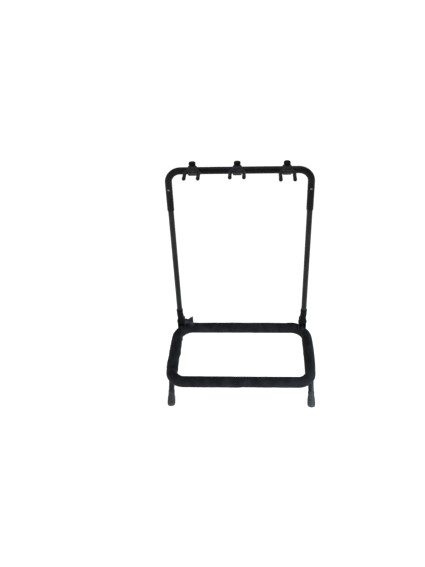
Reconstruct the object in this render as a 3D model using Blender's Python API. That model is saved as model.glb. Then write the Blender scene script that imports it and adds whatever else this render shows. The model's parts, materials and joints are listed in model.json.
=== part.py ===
"""Folding rack for three guitars: a padded ring on four legs, and a back frame with three neck yokes.

Metres, +Z up. The origin is on the floor in the middle of the four feet, +X is to the right
as the player faces the rack, and the player stands on the -Y side.
"""

from math import cos, pi, radians, sin, sqrt, tau

import bmesh
import bpy
from mathutils import Matrix, Vector

# Driving dimensions
GAP = 0.0003  # between pieces that touch
UPRIGHT_X = 0.250  # middle of an upright from the middle of the rack
UPRIGHT_Y = 0.138
BAR_Z = 0.833  # middle of the top bar
PIVOT_Z = 0.143  # axis that the back frame folds about

RING_X = 0.2665  # middle of the ring's side tubes
RING_Y = 0.155  # middle of its front and rear tubes
RING_Z = 0.092
FRONT_BEND = 0.048
REAR_BEND = 0.062
RAIL_R = 0.011
RAIL_WALL = 0.0012
RING_SIDES = 12
FOAM_R = 0.0215

HOOP_R = 0.0127
HOOP_WALL = 0.0010
HOOP_BEND = 0.045
HOOP_SIDES = 16
HOOP_FOOT_Z = 0.676  # lower ends of the hoop's legs
HOOP_SCREW_Z = 0.764
UPRIGHT_R = 0.0105
UPRIGHT_WALL = 0.0012
UPRIGHT_TOP_Z = 0.782

FOOT_X = 0.2685  # where a foot meets the floor
FOOT_Y = 0.183
LEG_TOP_Y = 0.113  # where a leg's axis meets the ring
LEG_R = 0.011
LEG_WALL = 0.0012
FOOT_R = 0.0153

SHEET = 0.0025  # bracket steel
KNUCKLE_OUT = 0.009  # shoe's width at the pivot, outward and inward of the upright
KNUCKLE_IN = 0.015
KNUCKLE_R = 0.013
BRACKET_FOOT_Z = 0.098
BRACKET_TOP_Z = 0.157
BOLT_R = 0.004
SHOE_TOP_Z = 0.207
SHOE_SCREW_Z = 0.192

LINER_R = 0.0144
LIP_R = 0.0153
COLLAR_BORE = 0.0149
COLLAR_R = 0.0179
COLLAR_HALF = 0.014
PRONG_X = 0.0238  # middle of a prong from the middle of its yoke
PRONG_Z = 0.004
PRONG_REACH = 0.084  # from the bar's axis to the tip
ARM_Y = -0.0225
ARM_R = 0.007
ARM_BEND = 0.008
ROD_R = 0.0035
SLEEVE_R = 0.00675
BOSS_R = 0.0100
BOSS_TOP = 0.0212
STUD_R = 0.003
KNOB_R = 0.0125
KNOB_TOP = 0.032
YOKES = {"left": (-0.1625, 5), "middle": (-0.007, 7), "right": (0.164, 0)}  # place, upward tilt in degrees

# colour, roughness, metallic
BLACK_PAINT = ((0.012, 0.012, 0.014), 0.42, 0.0)
BLACK_ZINC = ((0.05, 0.05, 0.055), 0.35, 1.0)
BRIGHT_ZINC = ((0.62, 0.62, 0.64), 0.3, 1.0)
BLACK_FOAM = ((0.010, 0.011, 0.014), 0.9, 0.0)
BLACK_NYLON = ((0.014, 0.014, 0.016), 0.5, 0.0)
DARK_RUBBER = ((0.035, 0.036, 0.038), 0.75, 0.0)

LEFT, RIGHT = -1, 1
SIDES = {"left": LEFT, "right": RIGHT}
X_AXIS, Y_AXIS, Z_AXIS = Vector((1, 0, 0)), Vector((0, 1, 0)), Vector((0, 0, 1))


def empty_scene():
    for obj in list(bpy.data.objects):
        bpy.data.objects.remove(obj)


def material(name, finish):
    colour, roughness, metallic = finish
    made = bpy.data.materials.new(name)
    made.use_nodes = True
    shader = made.node_tree.nodes["Principled BSDF"]
    shader.inputs["Base Color"].default_value = (*colour, 1)
    shader.inputs["Roughness"].default_value = roughness
    shader.inputs["Metallic"].default_value = metallic
    return made


def place(name, bm, finish, parent=None, location=(0, 0, 0), rotation=(0, 0, 0)):
    """The mesh as a named object with its own material, its round faces smooth."""
    bmesh.ops.recalc_face_normals(bm, faces=bm.faces)
    mesh = bpy.data.meshes.new(name)
    bm.to_mesh(mesh)
    bm.free()
    mesh.shade_smooth()
    mesh.set_sharp_from_angle(angle=radians(32))
    mesh.materials.append(material(name, finish))
    obj = bpy.data.objects.new(name, mesh)
    bpy.context.collection.objects.link(obj)
    obj.parent = parent
    obj.location = location
    obj.rotation_euler = rotation
    return obj


def guide(name, bm, parent=None, location=(0, 0, 0), rotation=(0, 0, 0)):
    """A shape that only cuts or joins another."""
    obj = place(name, bm, BLACK_PAINT, parent, location, rotation)
    obj.hide_render = True
    obj.display_type = "WIRE"
    return obj


def combine(obj, operation, *others):
    for other in others:
        boolean = obj.modifiers.new(f"{operation.title()} {other.name}", "BOOLEAN")
        boolean.operation = operation
        boolean.object = other


def axis_empty(name, location, rotation=(0, 0, 0), parent=None):
    obj = bpy.data.objects.new(name, None)
    obj.empty_display_size = 0.03
    bpy.context.collection.objects.link(obj)
    obj.parent = parent
    obj.location = location
    obj.rotation_euler = rotation
    return obj


def bent_tube(outer, inner, start, heading, flat, moves, sides):
    """A round tube, or a rod if inner is 0, pushed and bent in one plane.

    flat is the normal of that plane. A move is ("run", length) or ("turn", radius, angle),
    and a positive angle turns by the right-hand rule about flat.
    """
    bm = bmesh.new()
    spot, course, flat = Vector(start), Vector(heading).normalized(), Vector(flat)
    aim = Matrix((flat, course.cross(flat), course)).transposed().to_4x4()
    aim.translation = spot
    rims = [r for r in (outer, inner) if r]
    for radius in rims:
        bmesh.ops.create_circle(bm, radius=radius, segments=sides, cap_ends=len(rims) == 1, matrix=aim)
    if len(rims) == 2:
        bmesh.ops.bridge_loops(bm, edges=bm.edges)
    first = end = list(bm.faces)
    for move, length, *angle in moves:
        if move == "run":
            grown = bmesh.ops.extrude_face_region(bm, geom=end)["geom"]
            step = course * length
            bmesh.ops.translate(bm, vec=step, verts=[v for v in grown if isinstance(v, bmesh.types.BMVert)])
            spot = spot + step
        else:
            angle = angle[0]
            inward = flat.cross(course) * (1 if angle > 0 else -1)
            centre = spot + inward * length
            steps = max(3, round(abs(angle) * length / 0.02))
            grown = bmesh.ops.spin(bm, geom=end, cent=centre, axis=flat, angle=angle, steps=steps)["geom_last"]
            turn = Matrix.Rotation(angle, 3, flat)
            spot = centre + turn @ (spot - centre)
            course = turn @ course
        if end is not first:
            bmesh.ops.delete(bm, geom=end, context="FACES")
        end = [f for f in grown if isinstance(f, bmesh.types.BMFace)]
    bmesh.ops.remove_doubles(bm, verts=bm.verts, dist=1e-6)
    return bm


def straight(outer, inner, start, end, sides=20, flat=None):
    """A straight tube or rod between two points."""
    way = Vector(end) - Vector(start)
    if flat is None:
        flat = X_AXIS if abs(way.normalized().x) < 0.9 else Y_AXIS
        flat = (flat - way * (flat.dot(way) / way.length_squared)).normalized()
    return bent_tube(outer, inner, start, way, flat, [("run", way.length)], sides)


def turned(profile, sides=20, axis=Z_AXIS):
    """A shape turned about an axis from its outline of (radius, height) points."""
    bm = bmesh.new()
    points = [bm.verts.new((radius, 0, height)) for radius, height in profile]
    closed = profile[0][0] > 0
    pairs = list(zip(points, points[1:])) + ([(points[-1], points[0])] if closed else [])
    edges = [bm.edges.new(pair) for pair in pairs]
    bmesh.ops.spin(bm, geom=points + edges, cent=(0, 0, 0), axis=Z_AXIS, angle=tau, steps=sides)
    bmesh.ops.remove_doubles(bm, verts=bm.verts, dist=1e-6)
    loose = [f for f in bm.faces if f.calc_area() < 1e-12]
    bmesh.ops.delete(bm, geom=loose, context="FACES")
    bmesh.ops.transform(bm, matrix=Z_AXIS.rotation_difference(axis).to_matrix(), verts=bm.verts)
    return bm


def loft(rings):
    """A closed skin over rings that all have the same number of points."""
    bm = bmesh.new()
    rows = [[bm.verts.new(point) for point in ring] for ring in rings]
    for low, high in zip(rows, rows[1:]):
        for n in range(len(low)):
            bm.faces.new((low[n - 1], low[n], high[n], high[n - 1]))
    bm.faces.new(rows[0])
    bm.faces.new(rows[-1])
    return bm


def rounded_rectangle(middle_x, half_x, half_y, corner, z, steps=4):
    """Points round a rectangle with round corners, or round a circle if corner is both halves."""
    points = []
    for quarter in range(4):
        side_x, side_y = ((1, 1), (-1, 1), (-1, -1), (1, -1))[quarter]
        for step in range(steps):
            angle = (quarter + (step + 0.5) / steps) * pi / 2
            x = middle_x + side_x * (half_x - corner) + corner * cos(angle)
            y = side_y * (half_y - corner) + corner * sin(angle)
            points.append((x, y, z))
    return points


def ring_half(side, outer, inner, half_gap=GAP / 2):
    """Half of the ring, front or rear: a U whose ends are in the middle of the ring's sides."""
    bend = ring_bend(side)
    arm = ("run", RING_Y - bend - half_gap)
    corner = ("turn", bend, -side * pi / 2)
    moves = [arm, corner, ("run", 2 * (RING_X - bend)), corner, arm]
    return bent_tube(outer, inner, (-RING_X, side * half_gap, 0), (0, side, 0), Z_AXIS, moves, RING_SIDES)


def ring_bend(side):
    return FRONT_BEND if side < 0 else REAR_BEND


def leg_line(side_x, side_y):
    """Where a leg's axis meets the ring, just inside its corner, and the floor."""
    bend = ring_bend(side_y)
    into_bend = LEG_TOP_Y - (RING_Y - bend)
    top_x = RING_X - bend + sqrt(bend**2 - into_bend**2)
    return Vector((side_x * top_x, side_y * LEG_TOP_Y, RING_Z)), Vector((side_x * FOOT_X, side_y * FOOT_Y, 0))


def build_ring():
    """The ring: two bent tubes, plugs that join them, and foam sleeves that meet over the joint."""
    centre = axis_empty("ring_centre", (0, 0, RING_Z))
    plug_r = RAIL_R - RAIL_WALL - GAP
    screw_y, screw_r = 0.028, 0.0025
    for name, side in (("front", -1), ("rear", 1)):
        rail = place(f"{name}_rail", ring_half(side, RAIL_R, RAIL_R - RAIL_WALL), BLACK_PAINT, centre)
        foam = place(f"{name}_foam", ring_half(side, FOAM_R, RAIL_R + GAP), BLACK_FOAM, centre)
        shadow = guide(f"{name}_rail_shadow", ring_half(side, RAIL_R + GAP, 0, 0), centre)
        for place_name, side_x in SIDES.items():
            hole = guide(
                f"{place_name}_{name}_screw_hole",
                straight(screw_r + GAP, 0, (0, 0, -0.02), (0, 0, 0), 10),
                centre,
                (side_x * RING_X, side * screw_y, 0),
            )
            combine(rail, "DIFFERENCE", hole)
            leg(name, place_name, side_x, side, foam, shadow)
            if side == 1:
                hinge_bracket(place_name, side_x, foam, shadow)
    for place_name, side_x in SIDES.items():
        plug = place(
            f"{place_name}_rail_plug",
            straight(plug_r, plug_r - 0.0018, (0, -0.045, 0), (0, 0.045, 0), RING_SIDES, Z_AXIS),
            BRIGHT_ZINC,
            centre,
            (side_x * RING_X, 0, 0),
        )
        for name, side in (("front", -1), ("rear", 1)):
            combine(plug, "DIFFERENCE", bpy.data.objects[f"{place_name}_{name}_screw_hole"])
            place(
                f"{place_name}_{name}_plug_screw",
                straight(screw_r, 0, (0, 0, -RAIL_R + RAIL_WALL / 2), (0, 0, -0.004), 10),
                BLACK_ZINC,
                centre,
                (side_x * RING_X, side * screw_y, 0),
            )


def leg(row, column, side_x, side_y, foam, shadow):
    """A short tube welded under the ring, and the rubber foot on its end."""
    top, floor = leg_line(side_x, side_y)
    way = (top - floor).normalized()
    stub = straight(LEG_R, LEG_R - LEG_WALL, floor + way * 0.015, top - way * 0.004, 14)
    bmesh.ops.translate(stub, vec=-floor, verts=stub.verts)
    tube = place(f"{row}_{column}_leg", stub, BLACK_PAINT, None, floor)
    combine(tube, "DIFFERENCE", shadow)
    room = straight(LEG_R + 2 * GAP, 0, floor + way * 0.04, top, 16)
    combine(foam, "DIFFERENCE", guide(f"{row}_{column}_leg_room", room))

    bore = LEG_R + GAP
    outline = [
        (bore, 0.052), (0.0120, 0.052), (0.0125, 0.0505), (0.0126, 0.036), (0.0141, 0.026), (0.0149, 0.014),
        (FOOT_R, 0.008), (FOOT_R, 0.000), (0.0142, -0.006), (0.0105, -0.0095), (0.0105, -0.020), (0, -0.020),
    ]
    inside = [(0, 0.0145), (bore, 0.0145)]
    rubber = turned(outline + inside, 14)
    bmesh.ops.rotate(rubber, matrix=Z_AXIS.rotation_difference(way).to_matrix(), verts=rubber.verts)
    cut = bmesh.ops.bisect_plane(
        rubber,
        geom=rubber.verts[:] + rubber.edges[:] + rubber.faces[:],
        plane_co=(0, 0, 0),
        plane_no=(0, 0, -1),
        clear_outer=True,
    )["geom_cut"]
    bmesh.ops.contextual_create(rubber, geom=[e for e in cut if isinstance(e, bmesh.types.BMEdge)])
    place(f"{row}_{column}_foot", rubber, DARK_RUBBER, None, floor)


def hinge_bracket(column, side_x, foam, shadow):
    """A folded steel channel, open to the front, that stands astride the ring's rear corner."""
    inward = -side_x
    pivot = (side_x * UPRIGHT_X, UPRIGHT_Y, PIVOT_Z)
    near = -(KNUCKLE_OUT + GAP + SHEET / 2)
    far = KNUCKLE_IN + GAP + SHEET / 2
    back, front, fold = KNUCKLE_R + GAP + SHEET / 2, -0.014, 0.003
    plan = [(near, front), (near, back - fold), (near + fold * 0.3, back - fold * 0.3), (near + fold, back)]
    plan += [(far - fold, back), (far - fold * 0.3, back - fold * 0.3), (far, back - fold), (far, front)]
    low, high = BRACKET_FOOT_Z - PIVOT_Z, BRACKET_TOP_Z - PIVOT_Z
    bm = bmesh.new()
    line = [bm.verts.new((inward * x, y, low)) for x, y in plan]
    strip = [bm.edges.new(pair) for pair in zip(line, line[1:])]
    risen = bmesh.ops.extrude_edge_only(bm, edges=strip)["geom"]
    bmesh.ops.translate(bm, vec=(0, 0, high - low), verts=[v for v in risen if isinstance(v, bmesh.types.BMVert)])
    channel = place(f"{column}_hinge_bracket", bm, BLACK_PAINT, None, pivot)
    sheet = channel.modifiers.new("Sheet steel", "SOLIDIFY")
    sheet.thickness = SHEET
    sheet.offset = 0
    sheet.use_even_offset = True

    cheek = [(front, low - 0.001), (front, 0)]
    cheek += [(front * cos(radians(a)), -front * sin(radians(a))) for a in (20, 40, 60, 80, 90)]
    cheek += [(0.020, -front), (0.020, low - 0.001)]
    side = bmesh.new()
    face = side.faces.new([side.verts.new((-0.04, y, z)) for y, z in cheek])
    slab = bmesh.ops.extrude_face_region(side, geom=[face])["geom"]
    bmesh.ops.translate(side, vec=(0.08, 0, 0), verts=[v for v in slab if isinstance(v, bmesh.types.BMVert)])
    combine(channel, "INTERSECT", guide(f"{column}_bracket_outline", side, None, pivot))
    combine(channel, "DIFFERENCE", shadow)
    bolt_room = straight(BOLT_R + 0.0004, 0, (-0.05, 0, 0), (0.05, 0, 0), 16)
    combine(channel, "DIFFERENCE", guide(f"{column}_bolt_room", bolt_room, None, pivot))

    half_x = (far - near + SHEET) / 2 + GAP
    room = bmesh.new()
    bmesh.ops.create_cube(room, size=1)
    bmesh.ops.scale(room, vec=(2 * half_x, back - front + SHEET / 2 + 2 * GAP, 0.05), verts=room.verts)
    middle = (inward * (near + far) / 2, (back + front + SHEET / 2) / 2, low - GAP + 0.025)
    bmesh.ops.translate(room, vec=middle, verts=room.verts)
    combine(foam, "DIFFERENCE", guide(f"{column}_foam_slot", room, None, pivot))


def dome(radius, height, base, steps=3):
    """Outline points of a low dome, from its rim at the base to its top on the axis."""
    return [(radius * cos(pi / 2 * n / steps), base + height * sin(pi / 2 * n / steps)) for n in range(steps + 1)]


def mirror_x(bm):
    bmesh.ops.scale(bm, vec=(-1, 1, 1), verts=bm.verts)
    return bm


def build_pivots():
    """The left bolt with its washer and wing knob, and the right rivet."""
    outside = -(KNUCKLE_OUT + 2 * GAP + SHEET)
    inside = KNUCKLE_IN + 2 * GAP + SHEET
    left = axis_empty("left_pivot", (-UPRIGHT_X, UPRIGHT_Y, PIVOT_Z))
    right = axis_empty("right_pivot", (UPRIGHT_X, UPRIGHT_Y, PIVOT_Z))
    head = [(0, outside - 0.0028), (0.0045, outside - 0.0024), (0.0072, outside - 0.0010), (0.0078, outside)]
    bolt = head + [(BOLT_R, outside), (BOLT_R, inside + 0.019), (0.0034, inside + 0.020), (0, inside + 0.020)]
    place("left_pivot_bolt", turned(bolt, 16, X_AXIS), BLACK_ZINC, left)
    peened = [(0.0064, inside), (0.0058, inside + 0.0014), (0.0035, inside + 0.0022), (0, inside + 0.0024)]
    rivet = head + [(BOLT_R, outside), (BOLT_R, inside)] + peened
    place("right_pivot_rivet", mirror_x(turned(rivet, 16, X_AXIS)), BLACK_ZINC, right)
    washer_end = inside + 0.0016
    hole = BOLT_R + 0.0004
    washer = [(hole, inside), (0.010, inside), (0.010, washer_end), (hole, washer_end)]
    place("left_pivot_washer", turned(washer, 16, X_AXIS), BRIGHT_ZINC, left)

    start = washer_end + GAP
    hub = [
        (hole, start), (0.0078, start), (0.0084, start + 0.001), (0.0090, start + 0.017), (0.0098, start + 0.027),
        (0.0090, start + 0.0300), (0.0060, start + 0.0317), (0, start + 0.0323),
        (0, start + 0.0195), (hole, start + 0.0195),
    ]
    knob = place("wing_knob", turned(hub, 20, X_AXIS), BLACK_NYLON, left)
    wing = [(start + 0.008, 0.0055), (start + 0.0250, 0.0222), (start + 0.0270, 0.0238), (start + 0.0300, 0.0238)]
    wing += [(start + 0.0317, 0.0221), (start + 0.0317, 0.0055)]
    wings = bmesh.new()
    for side in (1, -1):
        outline = [wings.verts.new((x, -0.0026, side * r)) for x, r in wing]
        face = wings.faces.new(outline)
        slab = bmesh.ops.extrude_face_region(wings, geom=[face])["geom"]
        bmesh.ops.translate(wings, vec=(0, 0.0052, 0), verts=[v for v in slab if isinstance(v, bmesh.types.BMVert)])
    bmesh.ops.recalc_face_normals(wings, faces=wings.faces)
    rims = [e for e in wings.edges if e.calc_face_angle(0) > radians(80)]
    bmesh.ops.bevel(wings, geom=rims, offset=0.0009, segments=1, affect="EDGES")
    combine(knob, "UNION", guide("wing_pair", wings, left))


def upright_shoe(column, side_x, frame):
    """The moulded foot of an upright: a round socket above, and a wide knuckle on the pivot below."""
    middle, half = (KNUCKLE_IN - KNUCKLE_OUT) / 2, (KNUCKLE_IN + KNUCKLE_OUT) / 2
    rings = []
    for angle, eased in ((-78, 0.0019), (-60, 0.0008), (-38, 0.0003), (-18, 0), (0, 0)):
        deep = KNUCKLE_R * cos(radians(angle))
        corner = min(0.002, 0.8 * deep)
        rings.append(rounded_rectangle(middle, half - eased, deep, corner, KNUCKLE_R * sin(radians(angle))))
    rings.append(rounded_rectangle(middle, half, KNUCKLE_R, 0.002, 0.015))
    rings.append(rounded_rectangle(middle * 0.5, half * 1.02, KNUCKLE_R, 0.008, 0.027))
    collar = KNUCKLE_R - 0.0002
    top = SHOE_TOP_Z - PIVOT_Z
    for radius, z in ((collar, 0.044), (collar, top - 0.0015), (collar - 0.0012, top)):
        rings.append(rounded_rectangle(0, radius, radius, radius, z))
    skin = loft(rings)
    if side_x > 0:
        mirror_x(skin)
    shoe = place(f"{column}_upright_shoe", skin, BLACK_NYLON, frame, (side_x * UPRIGHT_X, 0, 0))
    spot = (side_x * UPRIGHT_X, 0, 0)
    socket = straight(UPRIGHT_R + GAP, 0, (0, 0, 0.0217), (0, 0, top + 0.02), HOOP_SIDES, Y_AXIS)
    combine(shoe, "DIFFERENCE", guide(f"{column}_socket_bore", socket, frame, spot))
    pivot_bore = straight(BOLT_R + 0.0004, 0, (-0.04, 0, 0), (0.04, 0, 0), 16)
    combine(shoe, "DIFFERENCE", guide(f"{column}_pivot_bore", pivot_bore, frame, spot))

    screw_z = SHOE_SCREW_Z - PIVOT_Z
    screw_spot = (side_x * UPRIGHT_X, 0, screw_z)
    screw_hole = straight(0.0018 + GAP, 0, (0, 0.004, 0), (0, 0.03, 0), 10)
    hole = guide(f"{column}_shoe_screw_hole", screw_hole, frame, screw_spot)
    combine(shoe, "DIFFERENCE", hole)
    seat = KNUCKLE_R + GAP
    screw = [(0, 0.006), (0.0018, 0.0072), (0.0018, seat)] + dome(0.0034, 0.0018, seat, 2)
    place(f"{column}_shoe_screw", turned(screw, 10, Y_AXIS), BLACK_ZINC, frame, screw_spot)
    return hole


def build_back_frame():
    """Two uprights in their shoes, and the hoop that slides over their tops."""
    frame = axis_empty("fold_axis", (0, UPRIGHT_Y, PIVOT_Z))
    hoop_foot, hoop_bend_z = HOOP_FOOT_Z - PIVOT_Z, BAR_Z - HOOP_BEND - PIVOT_Z
    leg_run = ("run", hoop_bend_z - hoop_foot)
    corner = ("turn", HOOP_BEND, pi / 2)
    moves = [leg_run, corner, ("run", 2 * (UPRIGHT_X - HOOP_BEND)), corner, leg_run]
    start = (-UPRIGHT_X, 0, hoop_foot)
    hoop_mesh = bent_tube(HOOP_R, HOOP_R - HOOP_WALL, start, Z_AXIS, Y_AXIS, moves, HOOP_SIDES)
    hoop = place("top_hoop", hoop_mesh, BLACK_PAINT, frame)
    for column, side_x in SIDES.items():
        spot = (side_x * UPRIGHT_X, 0, 0)
        shoe_hole = upright_shoe(column, side_x, frame)
        foot, top = (0, 0, 0.022), (0, 0, UPRIGHT_TOP_Z - PIVOT_Z)
        tube = straight(UPRIGHT_R, UPRIGHT_R - UPRIGHT_WALL, foot, top, HOOP_SIDES, Y_AXIS)
        upright = place(f"{column}_upright", tube, BLACK_PAINT, frame, spot)
        screw_spot = (side_x * UPRIGHT_X, 0, HOOP_SCREW_Z - PIVOT_Z)
        hole_mesh = straight(0.0021 + GAP, 0, (0, 0, 0), (0, -0.03, 0), 10)
        hole = guide(f"{column}_hoop_screw_hole", hole_mesh, frame, screw_spot)
        combine(upright, "DIFFERENCE", shoe_hole, hole)
        combine(hoop, "DIFFERENCE", hole)
        seat = HOOP_R + GAP
        screw = [(0, 0.0055), (0.0021, 0.007), (0.0021, seat)] + dome(0.0037, 0.0018, seat)
        place(f"{column}_hoop_screw", turned(screw, 12, -Y_AXIS), BRIGHT_ZINC, frame, screw_spot)
        inner, outer = UPRIGHT_R + GAP, HOOP_R - HOOP_WALL - GAP
        bush = [(inner, -0.0025), (HOOP_R, -0.0025), (HOOP_R, -GAP), (outer, -GAP), (outer, 0.04), (inner, 0.04)]
        place(f"{column}_hoop_bush", turned(bush, HOOP_SIDES), BLACK_NYLON, frame, (spot[0], 0, hoop_foot))
    return frame


def lobed_ring(radius, z, depth, lobes=8, per_lobe=3):
    """Points round a knob's rim, with shallow finger hollows."""
    count = lobes * per_lobe
    angles = [tau * n / count for n in range(count)]
    return [
        ((radius - depth * (1 + cos(lobes * a)) / 2) * cos(a), (radius - depth * (1 + cos(lobes * a)) / 2) * sin(a), z)
        for a in angles
    ]


def yoke(column, x, tilt, frame):
    """A neck yoke: a collar that slides and turns on the bar, with two sleeved prongs and a lock knob."""
    bar = (x, 0, BAR_Z - PIVOT_Z)
    turn = axis_empty(f"{column}_yoke_axis", bar, (radians(-tilt), 0, 0), frame)
    lip = COLLAR_HALF + GAP
    liner = [(0.0132, -lip - 0.0015), (LIP_R, -lip - 0.0015), (LIP_R, -lip), (LINER_R, -lip)]
    liner += [(LINER_R, lip), (LIP_R, lip), (LIP_R, lip + 0.0015), (0.0132, lip + 0.0015)]
    place(f"{column}_yoke_liner", turned(liner, HOOP_SIDES, X_AXIS), BLACK_NYLON, turn)

    collar = straight(COLLAR_R, COLLAR_BORE, (-COLLAR_HALF, 0, 0), (COLLAR_HALF, 0, 0), HOOP_SIDES, Y_AXIS)
    body = place(f"{column}_yoke_body", collar, BLACK_NYLON, turn)
    arms = arm_path(ARM_R, 0.031, 10)
    combine(body, "UNION", guide(f"{column}_yoke_arms", arms, turn))
    rings = []
    for angle, half in ((96, 0.0088), (118, 0.0105), (138, 0.0155), (156, 0.0235), (172, 0.0310)):
        ray = Vector((0, cos(radians(angle)), sin(radians(angle))))
        inner, outer = ray * 0.0164, ray * 0.0215
        rings.append([(-half, *inner.yz), (half, *inner.yz), (half, *outer.yz), (-half, *outer.yz)])
    combine(body, "UNION", guide(f"{column}_yoke_apron", loft(rings), turn))
    boss = [(0, 0.0155), (0.0135, 0.0155), (0.0125, 0.0182), (BOSS_R, BOSS_TOP - 0.0008)]
    boss += [(BOSS_R - 0.0008, BOSS_TOP), (0, BOSS_TOP)]
    combine(body, "UNION", guide(f"{column}_yoke_boss", turned(boss, 12), turn))
    combine(body, "DIFFERENCE", guide(f"{column}_rod_room", arm_path(ROD_R + GAP, 0.04, 8), turn))
    stud_room = straight(STUD_R + 2 * GAP, 0, (0, 0, 0.008), (0, 0, 0.03), 10)
    combine(body, "DIFFERENCE", guide(f"{column}_stud_room", stud_room, turn))

    place(f"{column}_yoke_rod", arm_path(ROD_R, PRONG_REACH - 0.006, 8), BLACK_ZINC, turn)
    sleeve_start = 0.031 + GAP
    sleeve = [(ROD_R + GAP, sleeve_start), (SLEEVE_R - 0.0006, sleeve_start), (SLEEVE_R, sleeve_start + 0.001)]
    sleeve += dome(SLEEVE_R, 0.005, PRONG_REACH - 0.005)
    end = PRONG_REACH - 0.006 + 2 * GAP
    sleeve += [(0, end), (ROD_R + GAP, end)]
    for side, side_x in SIDES.items():
        spot = (side_x * PRONG_X, 0, PRONG_Z)
        place(f"{column}_yoke_{side}_sleeve", turned(sleeve, 12, -Y_AXIS), DARK_RUBBER, turn, spot)

    base = BOSS_TOP + GAP
    rims = ((0.0108, base), (KNOB_R, base + 0.0022), (KNOB_R, KNOB_TOP - 0.0022), (0.0112, KNOB_TOP - 0.0006))
    rings = [lobed_ring(radius, z, 0.0011) for radius, z in rims] + [lobed_ring(0.0085, KNOB_TOP, 0.0004)]
    knob = place(f"{column}_yoke_knob", loft(rings), BLACK_NYLON, turn)
    thread_room = straight(STUD_R + GAP, 0, (0, 0, base - 0.002), (0, 0, base + 0.0075), 10)
    combine(knob, "DIFFERENCE", guide(f"{column}_thread_room", thread_room, turn))
    stud = straight(STUD_R, 0, (0, 0, LINER_R + GAP), (0, 0, base + 0.0070), 10)
    place(f"{column}_yoke_stud", stud, BRIGHT_ZINC, turn)


def arm_path(radius, reach, sides):
    """A rod bent to a U that lies flat in front of the bar, its ends pointing forward."""
    prong = ("run", reach + ARM_Y - ARM_BEND)
    corner = ("turn", ARM_BEND, -pi / 2)
    moves = [prong, corner, ("run", 2 * (PRONG_X - ARM_BEND)), corner, prong]
    return bent_tube(radius, 0, (-PRONG_X, -reach, PRONG_Z), Y_AXIS, Z_AXIS, moves, sides)


def main():
    empty_scene()
    build_ring()
    build_pivots()
    frame = build_back_frame()
    for column, (x, tilt) in YOKES.items():
        yoke(column, x, tilt, frame)


main()
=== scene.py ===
"""Finished looks for the folding guitar rack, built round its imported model.

Metres, +Z up, in the model's own frame: the origin is on the floor in the middle of the four feet,
+X is to the player's right and the player stands on the -Y side. Each operator makes one kind of
piece. Sizes and colours are in the property groups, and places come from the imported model.
"""

import json
from math import atan2, ceil, copysign, cos, degrees, exp, pi, radians, sin, sqrt, tau

import bmesh
import bpy
from mathutils import Matrix, Vector, noise


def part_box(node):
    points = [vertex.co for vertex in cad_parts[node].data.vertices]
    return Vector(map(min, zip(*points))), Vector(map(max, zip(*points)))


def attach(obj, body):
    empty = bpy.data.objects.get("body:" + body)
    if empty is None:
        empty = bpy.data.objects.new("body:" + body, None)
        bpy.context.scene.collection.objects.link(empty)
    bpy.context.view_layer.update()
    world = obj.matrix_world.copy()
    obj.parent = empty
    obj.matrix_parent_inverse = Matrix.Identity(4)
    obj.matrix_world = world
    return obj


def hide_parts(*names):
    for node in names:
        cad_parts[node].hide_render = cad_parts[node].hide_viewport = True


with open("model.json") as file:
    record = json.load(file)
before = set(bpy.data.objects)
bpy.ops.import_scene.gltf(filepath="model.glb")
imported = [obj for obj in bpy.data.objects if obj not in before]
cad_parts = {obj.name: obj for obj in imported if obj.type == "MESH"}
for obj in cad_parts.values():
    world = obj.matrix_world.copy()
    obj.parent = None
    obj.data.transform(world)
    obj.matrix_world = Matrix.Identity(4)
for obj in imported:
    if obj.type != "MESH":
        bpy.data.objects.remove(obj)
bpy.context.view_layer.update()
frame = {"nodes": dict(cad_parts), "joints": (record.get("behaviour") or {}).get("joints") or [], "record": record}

bl_info = {
    "name": "Guitar Rack Looks",
    "version": (1, 0, 0),
    "blender": (4, 5, 0),
    "location": "3D View > Sidebar > Rack",
    "description": "Builds the foam, steel, moulded pieces and stage of a folding guitar rack",
    "category": "Object",
}

X_AXIS, Y_AXIS, Z_AXIS = Vector((1, 0, 0)), Vector((0, 1, 0)), Vector((0, 0, 1))
SIDES = {"left": -1, "right": 1}
ROWS = {"front": -1, "rear": 1}
COLUMNS = ("left", "middle", "right")

# Places, bodies and slots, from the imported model
RECORD = frame["record"]
SLOTS = {part["node"]: part["material_slot"] for part in RECORD["subparts"]}
BODIES = {node: body for body, nodes in RECORD["behaviour"]["bodies"].items() for node in nodes}
JOINTS = {joint["name"]: joint for joint in frame["joints"]}
MOUNTS = {mount["name"]: Vector(mount["pos_m"]) for mount in RECORD["mounts"]}
PIVOT = Vector(JOINTS["frame_fold"]["pos_m"])
UPRIGHT_X = -JOINTS["wing_knob_turn"]["pos_m"][0]
BAR = Vector(JOINTS["middle_yoke_tilt"]["pos_m"])
HOOP_FOOT_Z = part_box("top_hoop")[0].z
UPRIGHT_FOOT_Z, UPRIGHT_TOP_Z = (corner.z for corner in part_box("right_upright"))
SHOE_TOP_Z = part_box("right_upright_shoe")[1].z
BRACKET_TOP_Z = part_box("right_hinge_bracket")[1].z
HOOP_SCREW_Z = sum(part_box("right_hoop_screw"), Vector()).z / 2
SHOE_SCREW_Z = sum(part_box("right_shoe_screw"), Vector()).z / 2
RING_Z = sum(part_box("front_rail"), Vector()).z / 2

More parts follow.
